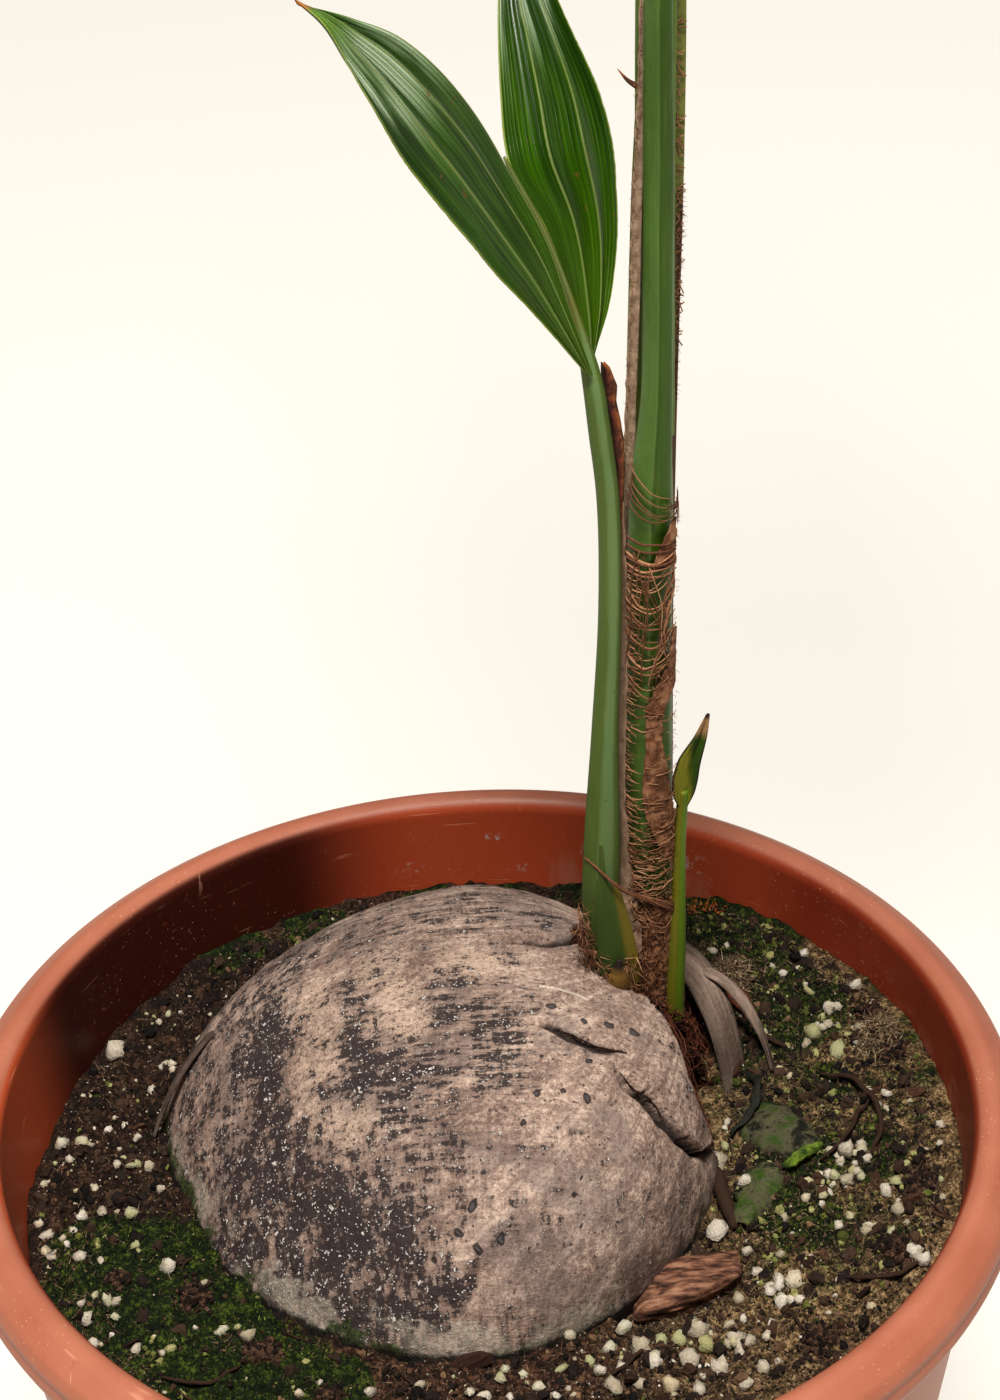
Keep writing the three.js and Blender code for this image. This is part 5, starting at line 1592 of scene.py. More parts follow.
upper_strip = slab(strip_grid, 0.5, tint=0.8 + 0.2 * strip_noise)
CHANNEL = 70
channel_h = rng.uniform(285, 404, CHANNEL)
channel_from = at(rng.uniform(75.2, 77, CHANNEL), 63.2, channel_h)
channel_end = np.minimum(channel_from[:, 0] + rng.uniform(0.8, 3, CHANNEL), 78.9)
channel_to = at(channel_end, 63.0, channel_h + rng.normal(0, 2.2, CHANNEL))
t = np.linspace(0, 1, 6)[None, :, None]
channel_threads = cords(bridge(channel_from, channel_to, t), 0.24, 4, tint=rng.uniform(0.7, 1, CHANNEL))
rim_path = [[47.9, 44, 269.6], [49.7, 43.5, 258], [51.3, 43, 247.2], [52.8, 42.5, 236.3], [54.4, 43, 224.8]]
rim_lines = through(places(rim_path), 40) + np.array([[[0, 0, 0]], [[0.9, 0.4, 0]]])
rim = cords(rim_lines, 0.5, 6, tint=[0.85, 0.1])
print("channel threads", len(channel_from))

# %% Loose hair on the shoot
fuzz_h = rng.uniform(262, 342, 240)
hair_at = np.concatenate([
    on_shoot(rng.uniform(57, 75.5, 420), rng.uniform(4, 62, 420), 1.4),
    on_shoot(rng.uniform(64, 75.5, 260), rng.uniform(60, 176, 260), 1.2),
    on_shoot(np.interp(comb_h, margin_h, margin_right), comb_h, 1.0),
    on_shoot(rng.uniform(73, 75.8, 110), rng.uniform(60, 232, 110), 1.2),
    at(strip_left + 0.2, 54.8, strip_h),
    at(np.interp(fuzz_h, [262, 290, 342], [75.6, 76.6, 77.8]), 63.4, fuzz_h),
])
hair = bristles(rng, hair_at, 2.6, 0.13, 0.7, (0.35, -0.8, -0.25))
wad_at = at(rng.uniform(37.5, 49, 420), rng.uniform(36.6, 41, 420), rng.uniform(26, 60, 420))
wad_keep = wad_at[:, 0] < 40 + (60 - (wad_at[:, 2] - LIP)) * 0.26
wad = bristles(rng, wad_at[wad_keep], 5.0, 0.22, 0.8, (0.1, -0.5, -0.5))
root_x, root_h = rng.uniform(47, 62, 140), rng.uniform(14, 34, 140)
root_at = at(root_x, 35.8 + 0.12 * (root_x - 47), root_h)
root_hair = bristles(rng, root_at, 5.5, 0.25, 0.7, (0.5, -0.4, -0.5))
print("hairs", len(hair.points) // 4)

# %% Dry fibre's finish
fibre = Finish("dry_fibre")
tint = fibre.value("tint")
clouds = fibre.noise(9, 3)
strand = fibre.noise(0.8, 3, 0.6, (1.0, 1.0, 0.5))
base = fibre.over(
    fibre.ramp(tint, (0.0, (70, 42, 28)), (0.5, (126, 84, 58)), (1.0, (186, 142, 108))),
    (clouds.within(0.45, 0.7) * 0.45, (96, 58, 38)),
    (strand.within(0.5, 0.7) * 0.4, (168, 128, 98)),
)
fibre_material = fibre.done(base, 0.85 - 0.1 * strand, fibre.bump(strand, 0.3, 0.7), Specular_IOR_Level=0.3)
net_threads = join(
    top_swoops, star_knot, tight_wrap, swags, diagonal, lengthwise, comb, cross, low, hanging_low, collar,
    channel_threads, rim,
)
piece("net_threads", net_threads, fibre_material, ["fibre_net"])
piece("net_felt", join(felt, upper_felt, low_felt), fibre_material)
margin_finish = grain_finish("dry_margin", (98, 74, 56), (142, 116, 94), (184, 158, 134), 2.4)
piece("dry_margins", join(margin_strip, upper_strip), margin_finish)
piece("net_hair", join(hair, wad, root_hair), fibre_material, smooth=False)

# %% [markdown]
# ## Small dry parts of the shoot
# A dark red scrap of sheath hangs beside the shoot, an orange thorn stands out at the left edge
# of a stalk, and a small yellow-brown bud scale with a dark tip sits where the first stalk leaves
# the husk.

# %% Scrap, thorn and bud scale
h = np.linspace(286, 208, 70)
scrap_h = -np.array([286, 284, 277, 271, 264, 256, 244, 230, 217, 208])
scrap_left = np.interp(-h, scrap_h, [49.4, 49.3, 49.4, 49.6, 51.2, 52.2, 53.6, 54.4, 54.8, 55.0])
scrap_right = np.interp(-h, scrap_h, [50.2, 52.0, 54.6, 54.2, 55.6, 56.8, 57.0, 56.4, 55.9, 55.7])
q = np.linspace(0, 1, 7)
scrap_x = scrap_left[:, None] + (scrap_right - scrap_left)[:, None] * q
scrap_y = 45.2 - 1.5 * np.sin(np.pi * q) * (1 + 0.4 * np.sin(h / 3))[:, None]
scrap = slab(at(scrap_x, scrap_y, h[:, None]), 0.45, tint=q)
curl_at = at(50.6 + rng.normal(0, 0.7, 14), 44.6, 270.5 + rng.normal(0, 1.3, 14))
curl_tuft = curls(rng, curl_at, 1.6, 2.2, 0.17, 0.5)
thorn_path = through(places([[62.0, 55.6, 378.8], [59.4, 55.6, 380.6], [56.0, 55.6, 384.6]]), 14)
thorn = cords(thorn_path[None], np.linspace(1.5, 0.15, 14)[None], 8, 0.7, tint=0.8)
scale_rows = places([
    [52.6, 36.4, 18, 10, 4, 0], [53, 35.8, 24, 9, 5, 0], [53.4, 35.2, 30, 6, 4, 0],
    [53.2, 35, 35, 1.6, 1.6, 0],
])
bud_scale = stalk(scale_rows, -math.pi / 2, 40, 24, 0.3)
bud_scale.values["tint"] = 0.2 + 0.6 * (1 - bud_scale.values["share"])
dry = Finish("dry_sheath")
tint = dry.value("tint")
clouds = dry.noise(4, 4)
lines = dry.noise(0.7, 3, 0.5, (1.0, 1.0, 0.1))
base = dry.ramp(
    tint, (0.0, (30, 14, 10)), (0.4, (78, 34, 20)), (0.7, (132, 66, 32)), (1.0, (178, 116, 66))
)
base = dry.mix(clouds.within(0.42, 0.6) * 0.8, base, (44, 20, 14))
dry_material = dry.done(base, 0.62 + 0.2 * lines, dry.bump(lines, 0.2, 0.7))
piece("dry_sheath", join(scrap, thorn, curl_tuft), dry_material, ["dry_scrap"])
bud = Finish("bud_scale")
base = bud.ramp(bud.value("share"), (0.1, (92, 62, 34)), (0.6, (140, 108, 48)), (0.85, (40, 24, 18)))
bud_lines = bud.noise(0.8, 3, 0.5, (1.0, 1.0, 0.1))
bud_material = bud.done(base, 0.6 + 0.2 * bud_lines, bud.bump(bud_lines, 0.3, 0.7))
piece("bud_scale", bud_scale, bud_material)

# %% [markdown]
# ## The torn mouth of the husk
# Where the shoot leaves it, the husk is a dark cup lined with red-brown fibre. Loose threads run
# from the rim towards the shoot, and frayed ends stand along the rim and the torn strips.

# %% Fibres of the mouth


def husk_place(angle, turn, off=0.0):
    """A point on the plain skin at an angle from the mouth's line, moved out by an offset."""
    way = husk_way(np.asarray(angle, float), np.asarray(turn, float))
    return HUSK_CENTRE + way * (husk_reach(way) + off)[..., None]


rng = np.random.default_rng(23)
count = 340
turn = rng.uniform(0, TAU, count)
rim_at = mouth_rim(turn)
start = husk_place(rim_at * rng.uniform(0.93, 1.0, count), turn, -rng.uniform(0.5, 4, count))
finish_turn = turn + rng.normal(0, 0.25, count)
end = husk_place(rim_at * rng.uniform(0.3, 0.75, count), finish_turn, -rng.uniform(8, 32, count))
t = np.linspace(0, 1, 10)[None, :, None]
bow = rng.normal(0, 2.4, (count, 1, 3)) * np.sin(np.pi * t)
thinning = 0.32 * (1 - 0.6 * t[0, :, 0])
lining = cords(bridge(start, end, t) + bow, thinning, 5, tint=rng.uniform(0, 0.7, count))
count = 420
turn = rng.uniform(0, TAU, count)
fray_at = husk_place(mouth_rim(turn) * rng.uniform(0.94, 1.01, count), turn, -0.6)
fray = bristles(rng, fray_at, 3.4, 0.16, 0.75, MOUTH * 0.7)
# Thin dark cords along the split and the plate's upper part stand in for the shade in the cracks: painted
# shade.
crack_shade_cords = []
for line, low_end, high_end in ((SPLIT, 0.2, 0.95), (PLATE, 0.02, 0.4)):
    crack_path = through(line, 60)[int(60 * low_end):int(60 * high_end)]
    slender = 0.2 * np.sin(np.pi * np.linspace(0.03, 0.97, len(crack_path))) ** 0.6
    for shift in (0.3, 0.9):
        wander = 0.5 * drift(crack_path + shift * 9, 3, (1, 2, 3), 1)
        cord_path = crack_path + wander + np.array([0.0, -0.6, -0.8]) * shift
        crack_shade_cords.append(cords(cord_path[None], slender[None], 5, tint=0.0))
flap_edge = flap.points[rng.integers(0, len(flap.points), 160)]
flap_hair = bristles(rng, flap_edge, 2.2, 0.12, 0.8, (0, -0.3, -0.6))
print("lining threads", len(start), "and rim fibres", count)

# %% The mouth's inner wall and its hanging threads
front_edge = through(places([[70, 34, 10], [76, 22, 2], [79, 12, -12], [84, 4, -30], [88, 0, -44]]), 40)
back_edge = through(places([[80, 84, -8], [85, 80, -16], [88, 70, -28], [90, 58, -38], [92, 48, -48]]), 40)
q = np.linspace(0, 1, 24)[:, None]
cavity_grid = front_edge[:, None] * (1 - q) + back_edge[:, None] * q
cavity_grid += np.array([-0.8, 0.3, 0.2]) * (13 * np.sin(np.pi * q[:, 0]) ** 0.7)[:, None]
cavity_grid += 1.6 * drift(cavity_grid, 9, (2, 3, 4), 2)
cavity = slab(cavity_grid, 1.6)
count = 520
row, column = rng.integers(0, 30, count), rng.integers(1, 23, count)
hang_from = cavity_grid[row, column]
lower, aside = row + rng.integers(5, 12, count), column + rng.integers(-4, 5, count)
hang_to = cavity_grid[np.minimum(lower, 39), np.clip(aside, 0, 23)]
t = np.linspace(0, 1, 9)[None, :, None]
bulge = np.array([0.85, -0.4, 0.1]) * rng.uniform(1.0, 6.0, (count, 1, 1)) * np.sin(np.pi * t) ** 0.8
loose = bulge + rng.normal(0, 0.8, (count, 1, 3)) * t
thinning = 0.34 * (1 - 0.5 * t[0, :, 0])
hanging = cords(bridge(hang_from, hang_to, t) + loose, thinning, 5, tint=rng.uniform(0.1, 0.75, count))
inner_husk = Finish("inner_husk")
threads_in = inner_husk.noise(1.2, 4, 0.6, (1.0, 1.0, 0.25))
base = inner_husk.ramp(threads_in, (0.4, (18, 10, 8)), (0.55, (58, 30, 20)), (0.7, (112, 62, 40)))
inner_material = inner_husk.done(base, 0.9 - 0.1 * threads_in, inner_husk.bump(threads_in, 1.0, 0.9))
piece("husk_inside", cavity, inner_material)
red_fibre = grain_finish("red_fibre", (44, 22, 14), (96, 52, 34), (146, 92, 62), 4)
piece("mouth_fibre", join(lining, fray, flap_hair, hanging, *crack_shade_cords), red_fibre, smooth=False)

# %% [markdown]
# ## Grains in the mix
# The mix is sown with crumbs, white grains of perlite, bark bits and moss. Each kind is one
# piece: many small uneven lumps of 24 quads, placed at random where a rule keeps them, always on
# the mix's own height. Perlite lies thick at the left and in front, moss at the left, at the right
# and along the back. The largest grains of perlite have places of their own.

# %% Where grains may lie


MIX_REACH = 177.0


def under_husk(x, y, h, grow=1.0):
    """True where a point lies inside the husk."""
    gap = at(x, y, h) - HUSK_CENTRE
    return np.linalg.norm(gap, axis=-1) < husk_reach(unit(gap)) + grow


def strewn(rng, count, share, sink=0.0, grow=1.0):
    """Places on the mix: random ones in the disc, kept with a chance share(x, y), not in the husk."""
    reach = MIX_REACH * np.sqrt(rng.uniform(0, 1, count))
    turn = rng.uniform(0, TAU, count)
    x, y = reach * np.cos(turn), reach * np.sin(turn)
    h = soil_top(x, y)
    kept = (rng.uniform(0, 1, count) < share(x, y)) & ~under_husk(x, y, h, grow)
    return at(x, y, h - sink)[kept]


def drawn_in(x, y, limit):
    """Places beyond a radius from the pot's middle moved in to it."""
    share = limit / np.maximum(limit, np.hypot(x, y))
    return x * share, y * share


PERLITE = [
    (-165, 85, 60), (-150, 30, 45), (-130, 110, 40), (60, -100, 48), (95, -58, 34), (92, 0, 22),
    (10, -112, 34), (125, 60, 34),
]
GREEN_BITS = [
    (130, 60, 70), (125, -30, 55), (-160, -40, 20), (-120, -95, 20), (-80, -95, 16), (110, 120, 40),
]
DEBRIS = [
    (-165, -38, 16), (-158, -72, 18), (-138, -104, 20), (-112, -130, 18), (-95, -85, 8), (-60, -122, 16),
]
print("on the mix at the right:", soil_top(np.array(130.0), np.array(60.0)).round(1))

# %% Crumbs, bark bits and perlite
rng = np.random.default_rng(31)


def crumb_lumps(count, size, share, rough=0.35, stretch=(1.0, 1.0, 0.8), sink=0.2):
    """Crumbs strewn by a rule, of many sizes: most small, a few large."""
    found = strewn(rng, count, share, sink)
    sizes = size * (0.45 + 1.4 * rng.uniform(0, 1, len(found)) ** 3)
    return lumps(rng, found, sizes, rough, stretch)


dark_crumbs = crumb_lumps(5200, 1.7, lambda x, y: 0.95 - 0.8 * area(x, y, LEFT_MOSS))
brown_crumbs = crumb_lumps(
    2600, 1.5,
    lambda x, y: 0.4 + 0.5 * area(x, y, [(150, -60, 60), (60, -110, 60)]) - 0.34 * area(x, y, LEFT_MOSS),
)
bark_bits = crumb_lumps(260, 1.9, lambda x, y: 0.6 - 0.5 * area(x, y, LEFT_MOSS), 0.2, (2.2, 0.9, 0.5))
green_bits = crumb_lumps(5600, 1.1, lambda x, y: 0.05 + 0.6 * area(x, y, GREEN_BITS), 0.3, (1, 1, 0.8), 0.0)


def litter(everywhere, right, left):
    """A chance that grows to the right, falls in the left moss and is full where debris lies."""
    return lambda x, y: (
        everywhere + right * ease(x, 0, 110) - left * area(x, y, LEFT_MOSS) + area(x, y, DEBRIS)
    )


grit = bristles(rng, strewn(rng, 56000, litter(0.5, 0.45, 0.4), 0.3), 1.1, 0.62, 0.8)
peat = bristles(rng, strewn(rng, 20000, litter(0.35, 0.6, 0.2), -0.5), 3.4, 0.14, 1.6, (0, 0, 0.7))
white_grains = join(
    crumb_lumps(620, 1.15, lambda x, y: 0.05 + 0.75 * area(x, y, PERLITE), 0.22, (1, 1, 1), 0.1),
    crumb_lumps(3000, 0.5, lambda x, y: 0.12 + 0.7 * area(x, y, PERLITE), 0.22, (1, 1, 1), 0.0),
)
BIG_PERLITE = [
    (104, 117, 1.5), (98, 116, 2.3), (136, 108, 2.0), (135, 82, 2.6), (134, 105, 1.2),
    (125, 94, 2.3), (142, 69, 3.3), (134, 58, 4.0), (140, 61, 2.6), (142, 46, 3.6), (147, 52, 2.0),
    (115, 64, 1.7), (119, 42, 2.0), (159, 67, 2.0), (154, 82, 3.3), (152, 54, 2.3), (95, 18, 2.0),
    (89, -4, 4.6), (86, -6, 3.0), (99, -17, 3.0), (97, -18, 2.3), (93, 6, 2.3), (138, -11, 4.3),
    (145, -7, 3.0), (151, -30, 2.8), (155, -27, 2.8), (127, -31, 3.0), (122, -23, 2.0),
    (131, -46, 2.3), (142, -46, 2.3), (154, -42, 3.0), (156, -49, 1.3), (112, -36, 2.3),
    (86, -40, 4.0), (97, -46, 2.6), (92, -50, 2.3), (100, -54, 2.6), (103, -68, 2.6),
    (107, -64, 3.3), (113, -65, 4.0), (107, -73, 3.0), (113, -75, 2.6), (91, -71, 3.6),
    (86, -85, 2.3), (75, -87, 4.3), (69, -86, 2.6), (78, -91, 2.3), (88, -91, 3.3), (93, -93, 2.6),
    (89, -95, 3.3), (112, -93, 1.7), (158, 17, 2.3), (152, 23, 2.0), (167, 15, 1.3),
    (156, -66, 4.3), (159, -70, 3.3), (138, -85, 2.3), (160, -20, 2.0), (172, -29, 1.7),
    (168, -37, 1.3), (174, -12, 1.3), (160, -10, 1.7), (126, -76, 1.3), (131, -18, 1.7),
    (136, -40, 2.0), (102, -84, 2.0), (75, -106, 1.7), (71, -102, 1.7), (69, -98, 2.0),
    (-155, 79, 4.3), (-120, 85, 2.3), (-121, 76, 1.4), (-138, 57, 2.6), (-135, 66, 1.4),
    (-130, 63, 1.7), (-166, 53, 1.4), (-149, 48, 1.7), (-172, 28, 3.1), (-164, 28, 2.9),
    (-141, 24, 2.0), (-148, 21, 1.1), (-135, 10, 2.9), (-148, 11, 2.3), (-142, 11, 2.0),
    (-129, -4, 2.0), (-163, -1, 1.4), (-157, 2, 0.9), (-140, -14, 2.6), (-151, -14, 2.0),
    (-159, -14, 2.6), (-172, -24, 3.4), (-171, -32, 2.3), (-168, -34, 1.1), (-156, -42, 2.3),
    (-123, -44, 3.4), (-144, -62, 3.1), (-151, -69, 3.1), (-100, -74, 2.6), (-95, -73, 2.0),
    (-90, -80, 2.9), (-131, -85, 2.6), (-118, -87, 2.0), (-121, -88, 1.4), (-147, -81, 2.0),
    (-144, -82, 1.4), (-125, -78, 1.1), (-108, -55, 1.4), (-136, -34, 2.0), (-149, -41, 1.7),
    (-163, -30, 2.0), (-168, -43, 1.1), (-173, 15, 1.1), (-174, 4, 1.4), (-138, 92, 1.4),
    (-141, 99, 1.1), (-130, 102, 1.4), (-113, 100, 1.4), (-117, 98, 1.1), (-144, -91, 1.1),
    (-63, -103, 1.4), (42, -91, 3.4), (48, -83, 3.0), (53, -94, 3.9), (61, -91, 3.4),
    (58, -100, 3.9), (68, -88, 3.0), (71, -99, 4.3), (77, -92, 3.4), (81, -103, 3.9),
    (88, -92, 3.0), (38, -104, 3.0), (43, -111, 3.9), (52, -109, 3.0), (63, -112, 3.4),
    (73, -113, 3.4), (28, -87, 2.6), (24, -101, 3.0), (16, -110, 3.4), (35, -97, 2.6),
    (2, -105, 2.6), (-9, -112, 2.6), (90, -111, 3.4), (97, -105, 2.6), (-45, -107, 3.0),
    (-27, -106, 2.1), (133, -7, 2.6), (142, -12, 2.6), (136, -14, 3.0), (140, -19, 2.8),
    (133, -20, 2.2), (143, -23, 2.3), (137, -25, 2.6),
]
big_x, big_y, big_size = np.array(BIG_PERLITE, float).T
big_x, big_y = drawn_in(big_x, big_y, MIX_REACH)
big_grains = lumps(rng, at(big_x, big_y, soil_top(big_x, big_y) + 0.3 * big_size), big_size * 0.92, 0.34)
neighbour = rng.integers(0, len(big_x), 90)
beside = rng.normal(0, 6, (90, 2))
side_x, side_y = big_x[neighbour] + beside[:, 0], big_y[neighbour] + beside[:, 1]
side_x, side_y = drawn_in(side_x, side_y, MIX_REACH - 1)
side_keep = ~under_husk(side_x, side_y, soil_top(side_x, side_y), 1)
side_at = at(side_x, side_y, soil_top(side_x, side_y) + 0.4)[side_keep]
side_grains = lumps(rng, side_at, rng.uniform(0.9, 2.3, len(side_at)), 0.32)
print("grains", len(white_grains.points) // 26 + len(big_grains.points) // 26)

# %% Finishes of the grains
dark_finish = grain_finish("dark_crumb", (20, 15, 12), (44, 33, 26), (78, 58, 44), 1.6)
brown_finish = grain_finish("brown_crumb", (50, 34, 25), (86, 63, 46), (132, 106, 80), 1.6)
bark_finish = grain_finish("bark_bit", (40, 26, 20), (68, 44, 33), (98, 68, 50), 1.2)
green_finish = grain_finish("green_bit", (50, 58, 18), (104, 108, 50), (164, 160, 108), 1.4)
perlite = Finish("perlite")
pores = perlite.cells(0.9)
clouds = perlite.noise(3, 3)
tint = perlite.value("tint")
green = perlite.noise(70, 1).within(0.46, 0.56) * tint.within(0.4, 0.7)
base = perlite.over(
    perlite.ramp(tint, (0.0, (166, 154, 132)), (0.6, (204, 196, 184)), (1.0, (188, 172, 142))),
    (clouds.within(0.48, 0.66) * 0.5, (146, 134, 106)),
    (green * 0.6, (138, 144, 82)),
    ((1 - pores.within(0.1, 0.34)) * 0.6, (112, 98, 80)),
)
relief = perlite.bump(pores, 0.35, 0.8)
perlite_material = perlite.done(base, 0.8 - 0.1 * clouds, relief, Specular_IOR_Level=0.35)
grit_finish = grain_finish("grit", (14, 10, 8), (50, 38, 30), (134, 108, 86), 5)
peat_finish = grain_finish("peat_fibre", (74, 56, 42), (124, 102, 80), (180, 156, 126), 5)
for name, form, finish, slot in (
    ("dark_crumbs", dark_crumbs, dark_finish, "soil"),
    ("brown_crumbs", brown_crumbs, brown_finish, "soil"),
    ("bark_bits", bark_bits, bark_finish, "bark_chip"),
    ("green_bits", green_bits, green_finish, "soil"),
    ("grit", grit, grit_finish, "soil"),
    ("peat_fibres", peat, peat_finish, "soil"),
):
    piece(name, form, finish, smooth=False)
piece("perlite_grains", join(white_grains, big_grains, side_grains), perlite_material)

# %% Moss
ORANGE_MOSS = [(84, 160, 17), (98, 153, 17), (62, 168, 12)]
rng = np.random.default_rng(47)


def moss_on(count, rounds, chance, sink, height, radius, lean=0.8):
    """Moss leaves strewn with a chance in round areas."""
    feet = strewn(rng, count, lambda x, y: area(x, y, rounds) * chance, sink, 0.5)
    return bristles(rng, feet, height, radius, lean)


moss_form = join(
    moss_on(26000, LEFT_MOSS, 0.95, 0.3, 1.7, 0.4),
    moss_on(20000, RIGHT_MOSS, 0.8, 0.3, 1.9, 0.45),
    moss_on(9000, BACK_MOSS, 0.9, 0.3, 2.2, 0.5),
    moss_on(26000, RIGHT_CRUST, 0.4, 0.1, 1.5, 0.5, 1.0),
)
orange_moss = moss_on(24000, ORANGE_MOSS, 1.0, -1.6, 3.0, 0.6, 0.9)
moss = Finish("moss")
patch = moss.noise(15, 5, 0.68)
tuft = patch + 0.12 * moss.value("tint")
base = moss.ramp(
    tuft, (0.46, (11, 20, 6)), (0.57, (32, 48, 12)), (0.65, (86, 98, 26)), (0.76, (146, 152, 60))
)
moss_material = moss.done(base, 0.75 + 0.1 * patch, None, Specular_IOR_Level=0.3)
piece("moss", moss_form, moss_material, smooth=False)
orange_finish = grain_finish("orange_moss", (120, 62, 26), (176, 104, 44), (208, 150, 84), 3.0, 0.85)
piece("orange_moss", orange_moss, orange_finish, smooth=False)

# %% Clumps, twigs and dead leaves on the mix
CLUMPS = [
    (-112, -59, 8), (-84, -88, 8), (-141, -52, 5), (158, 62, 10), (164, 42, 8), (60, -96, 7),
    (150, -64, 9), (165, -30, 8), (118, -96, 8), (-60, -112, 7),
]
rng = np.random.default_rng(53)
clump_parts = []
for x, y, radius in CLUMPS:
    spread_x, spread_y = rng.normal(0, radius * 0.4, (2, 170))
    cx, cy = np.clip(x + spread_x, -172, 172), np.clip(y + spread_y, -172, 172)
    rise = np.maximum(0, radius * 0.42 - 0.5 * np.hypot(spread_x, spread_y))
    keep = (np.hypot(cx, cy) < 174) & ~under_husk(cx, cy, soil_top(cx, cy), 1)
    spots_at = at(cx, cy, soil_top(cx, cy) + rise)[keep]
    clump_parts.append(lumps(rng, spots_at, rng.uniform(0.5, 1.5, len(spots_at)), 0.4))
clump_finish = grain_finish("clump", (22, 14, 11), (50, 34, 26), (104, 78, 60), 1.6)
piece("brown_clumps", join(*clump_parts), clump_finish, smooth=False)
TUFTS, TUFT_COUNTS = [[160.0, 49.0], [104.0, 98.0]], [900, 600]
tuft_at = np.repeat(TUFTS, TUFT_COUNTS, axis=0).T
tuft_x, tuft_y = drawn_in(*(tuft_at + rng.normal(0, 4.5, tuft_at.shape)), 170)
off_middle = np.hypot(tuft_x - tuft_at[0], tuft_y - tuft_at[1])
mound = 7 * np.exp(-(off_middle / 9) ** 2) * rng.uniform(0.3, 1, len(off_middle))
tuft_feet = at(tuft_x, tuft_y, soil_top(tuft_x, tuft_y) + mound)
tan_tuft = bristles(rng, tuft_feet, 5.0, 0.35, 1.2, (-0.2, -0.5, 0.4))
tuft_finish = grain_finish("tan_tuft", (92, 74, 56), (142, 120, 94), (186, 166, 136), 4)
piece("tan_tuft", tan_tuft, tuft_finish, smooth=False)


def lying(rows, radius, lift=0.6, steps=22, sides=7):
    """A twig or root through places (x, y, extra height), laid on the mix and tapered at its ends."""
    rows = np.array(rows, float)
    base_h = soil_top(rows[:, 0], rows[:, 1]) + rows[:, 2] + lift
    path = through(at(rows[:, 0], rows[:, 1], base_h), steps)
    t = np.linspace(0, 1, steps)
    path = path + 0.9 * drift(path, 6, (1, 2, 3), 2)
    return cords(path[None], (radius * (0.45 + 0.55 * np.sin(np.pi * t) ** 0.5))[None], sides, tint=0.1)


twig_parts = [
    lying([(134, 34, 1), (145, 26, 3), (152, 11, 3), (152, -6, 2), (146, -16, 0)], 1.15, 1.2, 40, 9),
    lying([(150, 14, 2), (144, 4, 2), (138, -6, 1), (128, -12, 0)], 0.8, 1.0, 26, 7),
    lying([(88, -4, 1), (90, -20, 2), (93, -37, 0.5)], 3.1, 1.5, 20, 9),
    lying([(106, 62, 1), (114, 57, 2), (122, 50, 0)], 1.3),
    lying([(-120, -100, 0.5), (-104, -104, 1), (-92, -96, 0)], 0.8),
    lying([(130, -70, 1), (146, -76, 2), (160, -70, 0.5)], 1.0),
    lying([(40, -108, 0.5), (52, -98, 1.5), (60, -86, 1)], 0.8),
]
for k in range(26):
    place = strewn(rng, 40, lambda x, y: 0.7 + 0 * x)[0, :2]
    heading, length = rng.uniform(0, TAU), rng.uniform(4, 11)
    reach = np.array([-1.0, 0.0, 1.0])[:, None] * length * np.array([math.cos(heading), math.sin(heading)])
    row = np.column_stack([np.clip(place + reach, -120, 120) if k % 2 else place + reach, [0.2, 1.0, 0.2]])
    if np.hypot(row[:, 0], row[:, 1]).max() < 172 and not under_husk(row[:, 0], row[:, 1], -40, 2).any():
        twig_parts.append(lying(row, rng.uniform(0.3, 0.7), 0.5, 10, 5))
piece("twigs", join(*twig_parts), brown_finish)
print("twigs", len(twig_parts))

# %% Dead leaves beside the husk


def dead_leaf(rows, facing, width, curl, tint):
    """A curled dead leaf: a strip whose ends narrow, on a path with heights above the lip."""
    return strip(places(rows), facing, width, 0.5, curl, 0.7, 34, 12, tint=tint)


thin_row = [(104, 40, -32), (112, 34, -22), (109, 20, -24), (96, 8, -33)]
broad_row = [(99, 14, -34), (108, 12, -27), (118, 4, -26), (129, -6, -29)]
low_row = [(112, -16, -31), (106, -20, -31), (101, -27, -33), (96, -37, -37)]
bright_row = [(114, -14, -30), (119, -13, -26), (125, -9, -26), (130, -4, -29)]
orange_row = [(101, 90, -27), (105, 85, -23), (108, 79, -23), (110, 72, -28)]
dead = join(
    dead_leaf(thin_row, (-0.7, -0.4, 0.6), 4.6, 0.8, 0.0),
    dead_leaf(broad_row, (0.1, -0.3, 0.9), 27, 6.5, 0.45),
    dead_leaf(low_row, (0.1, -0.3, 0.9), 18, 5.0, 0.6),
)
dead.points += 1.5 * drift(dead.points, 9, (5, 6, 7), 3)
torn_edge = (dead.values["rim"] ** 3)[:, None] * drift(dead.points, 7, (15, 16))
dead.points[:, :2] += 2.6 * torn_edge * (dead.values["tint"] > 0.1)[:, None]
bright_edge = dead_leaf(bright_row, (0, -0.7, 0.7), 4.2, 1.0, 0.9)
bright_edge.points += 0.8 * drift(bright_edge.points, 4, (8, 9, 10), 2)
orange_leaf = dead_leaf(orange_row, (0.1, -0.5, 0.8), 8, 2.4, 0.66)
print("dead leaves:", len(dead.points) + len(bright_edge.points) + len(orange_leaf.points), "points")

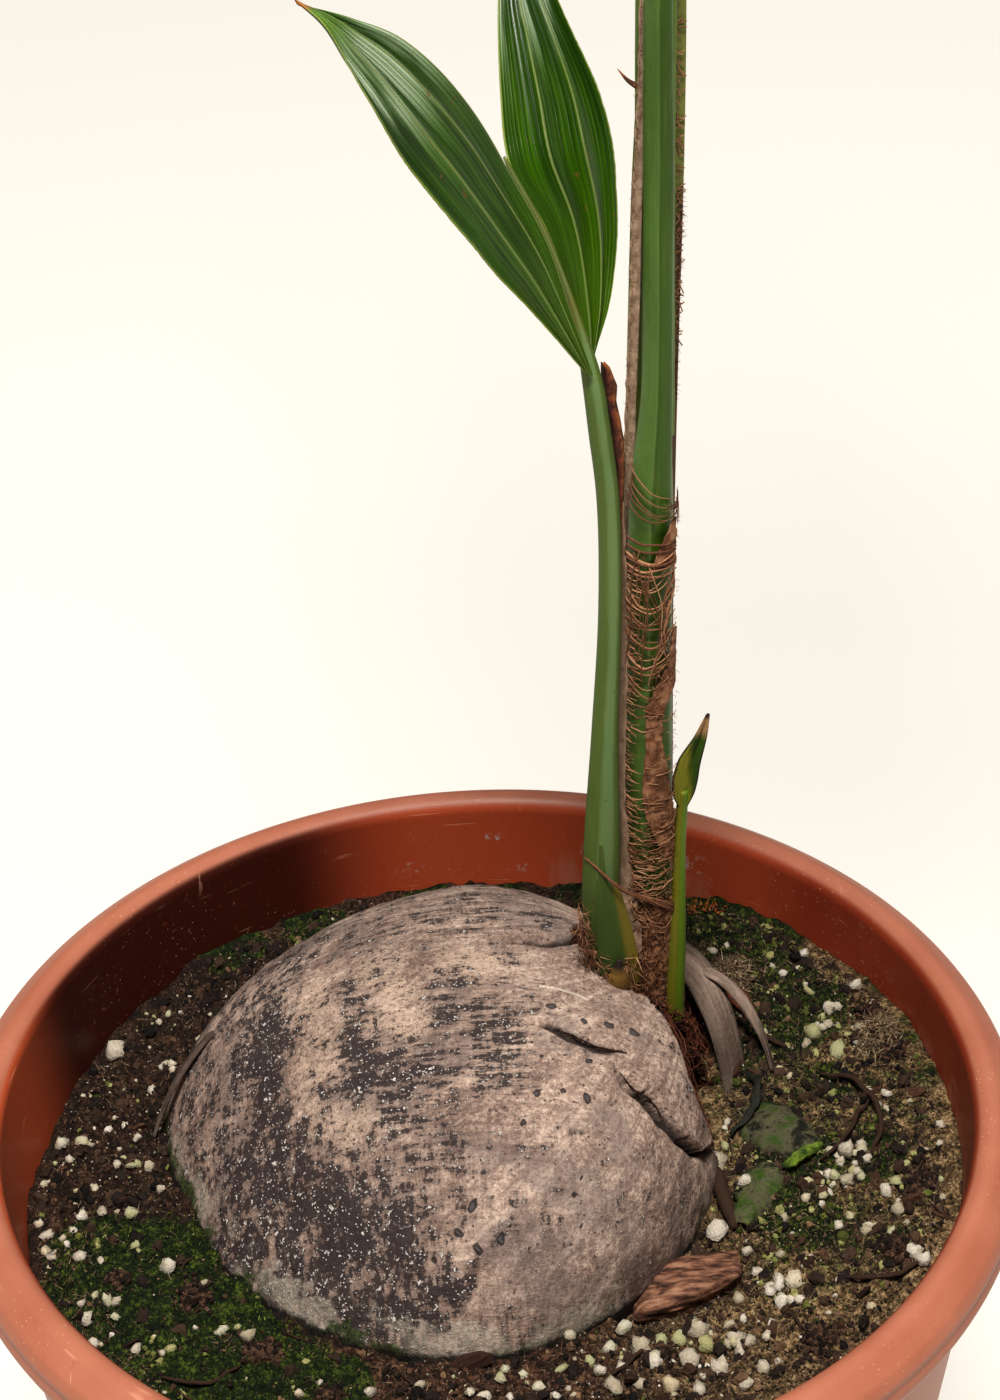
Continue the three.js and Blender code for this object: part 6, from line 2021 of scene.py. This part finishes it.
# %% The dead leaves' finish
leaf_moss = Finish("mossy_leaf")
patch = leaf_moss.noise(9, 4, 0.65)
fuzz = leaf_moss.noise(1.6, 3, 0.7)
tint = leaf_moss.value("tint")
base = leaf_moss.over(
    leaf_moss.ramp(patch, (0.4, (26, 27, 17)), (0.5, (88, 84, 62)), (0.62, (56, 76, 24))),
    (fuzz.within(0.54, 0.66) * (0.2 + 0.6 * tint.within(0.45, 0.6)), (92, 108, 42)),
    (leaf_moss.value("rim").within(0.55, 1.0) * 0.6, (40, 36, 26)),
    ((1 - tint.within(0.02, 0.2)) * 0.9, (34, 36, 28)),
    (tint.within(0.7, 0.85) * 0.8, leaf_moss.mix(patch.within(0.4, 0.6), (40, 68, 6), (124, 150, 44))),
)
relief = leaf_moss.bump(fuzz + patch, 0.8, 0.9)
leaf_moss_material = leaf_moss.done(base, 0.85 - 0.2 * patch, relief, Specular_IOR_Level=0.3)
piece("dead_leaves", join(dead, bright_edge), leaf_moss_material)
piece("orange_leaf", orange_leaf, dry_material)

# %% [markdown]
# ## The bark chip
# A chip of red-brown bark lies against the nut in front. Its sections are the frame's, with deep
# grooves along its length made by noise stretched in that direction.

# %% Bark chip
bark_rows = [
    [52, -68, -51.5, 15, 9], [53.5, -67.6, -50.8, 18, 12], [60, -66, -49, 20, 15],
    [70, -62.8, -47.6, 21, 17], [79, -60, -47, 19, 16], [87, -57, -46.2, 17, 13],
    [92.5, -54.8, -46, 14, 10], [93.5, -54.4, -46, 12, 8],
]
bark_fine = through(bark_rows, 110)
t = np.arange(72) / 72 * TAU
round_y, round_z = np.cos(t), np.sin(t)
square = 1 / (np.abs(round_y) ** 5 + np.abs(round_z) ** 5) ** 0.2 * (1 + 0.1 * np.sin(3 * t + 0.6))
ring_y = round_y * square * bark_fine[:, 3:4] * 0.5
ring_z = round_z * square * bark_fine[:, 4:5] * 0.5
bark_points = xyz(bark_fine[:, :1], bark_fine[:, 1:2] + ring_y, LIP + 2.5 + bark_fine[:, 2:3] + ring_z)
BARK_TURN = np.array([[0.94, -0.33, 0], [0.33, 0.94, 0], [0, 0, 1.0]])
along_bark = (bark_points - bark_points.mean((0, 1))) @ BARK_TURN
grooves = waver(along_bark * np.array([0.16, 1, 1]), 3.4, 3)
grooves = grooves + 0.6 * waver(along_bark * np.array([0.2, 1, 1]), 1.5, 4)
away = unit(bark_points - at(*bark_fine[:, :3].T)[:, None])
bark_form = loft(bark_points + away * (1.5 * grooves - 0.6)[..., None])
bark = Finish("bark")
strand = bark.noise(2.6, 5, 0.65, (0.2, 1.0, 1.0))
clouds = bark.noise(9, 4)
base = bark.ramp(strand, (0.4, (54, 35, 27)), (0.5, (116, 79, 60)), (0.64, (160, 122, 98)))
base = bark.mix(clouds.within(0.5, 0.75) * 0.6, base, (72, 44, 34))
bark_material = bark.done(base, 0.85 - 0.1 * clouds, bark.bump(strand, 1.0, 0.9), Specular_IOR_Level=0.3)
piece("bark_chip_body", bark_form, bark_material, ["bark_chip"])
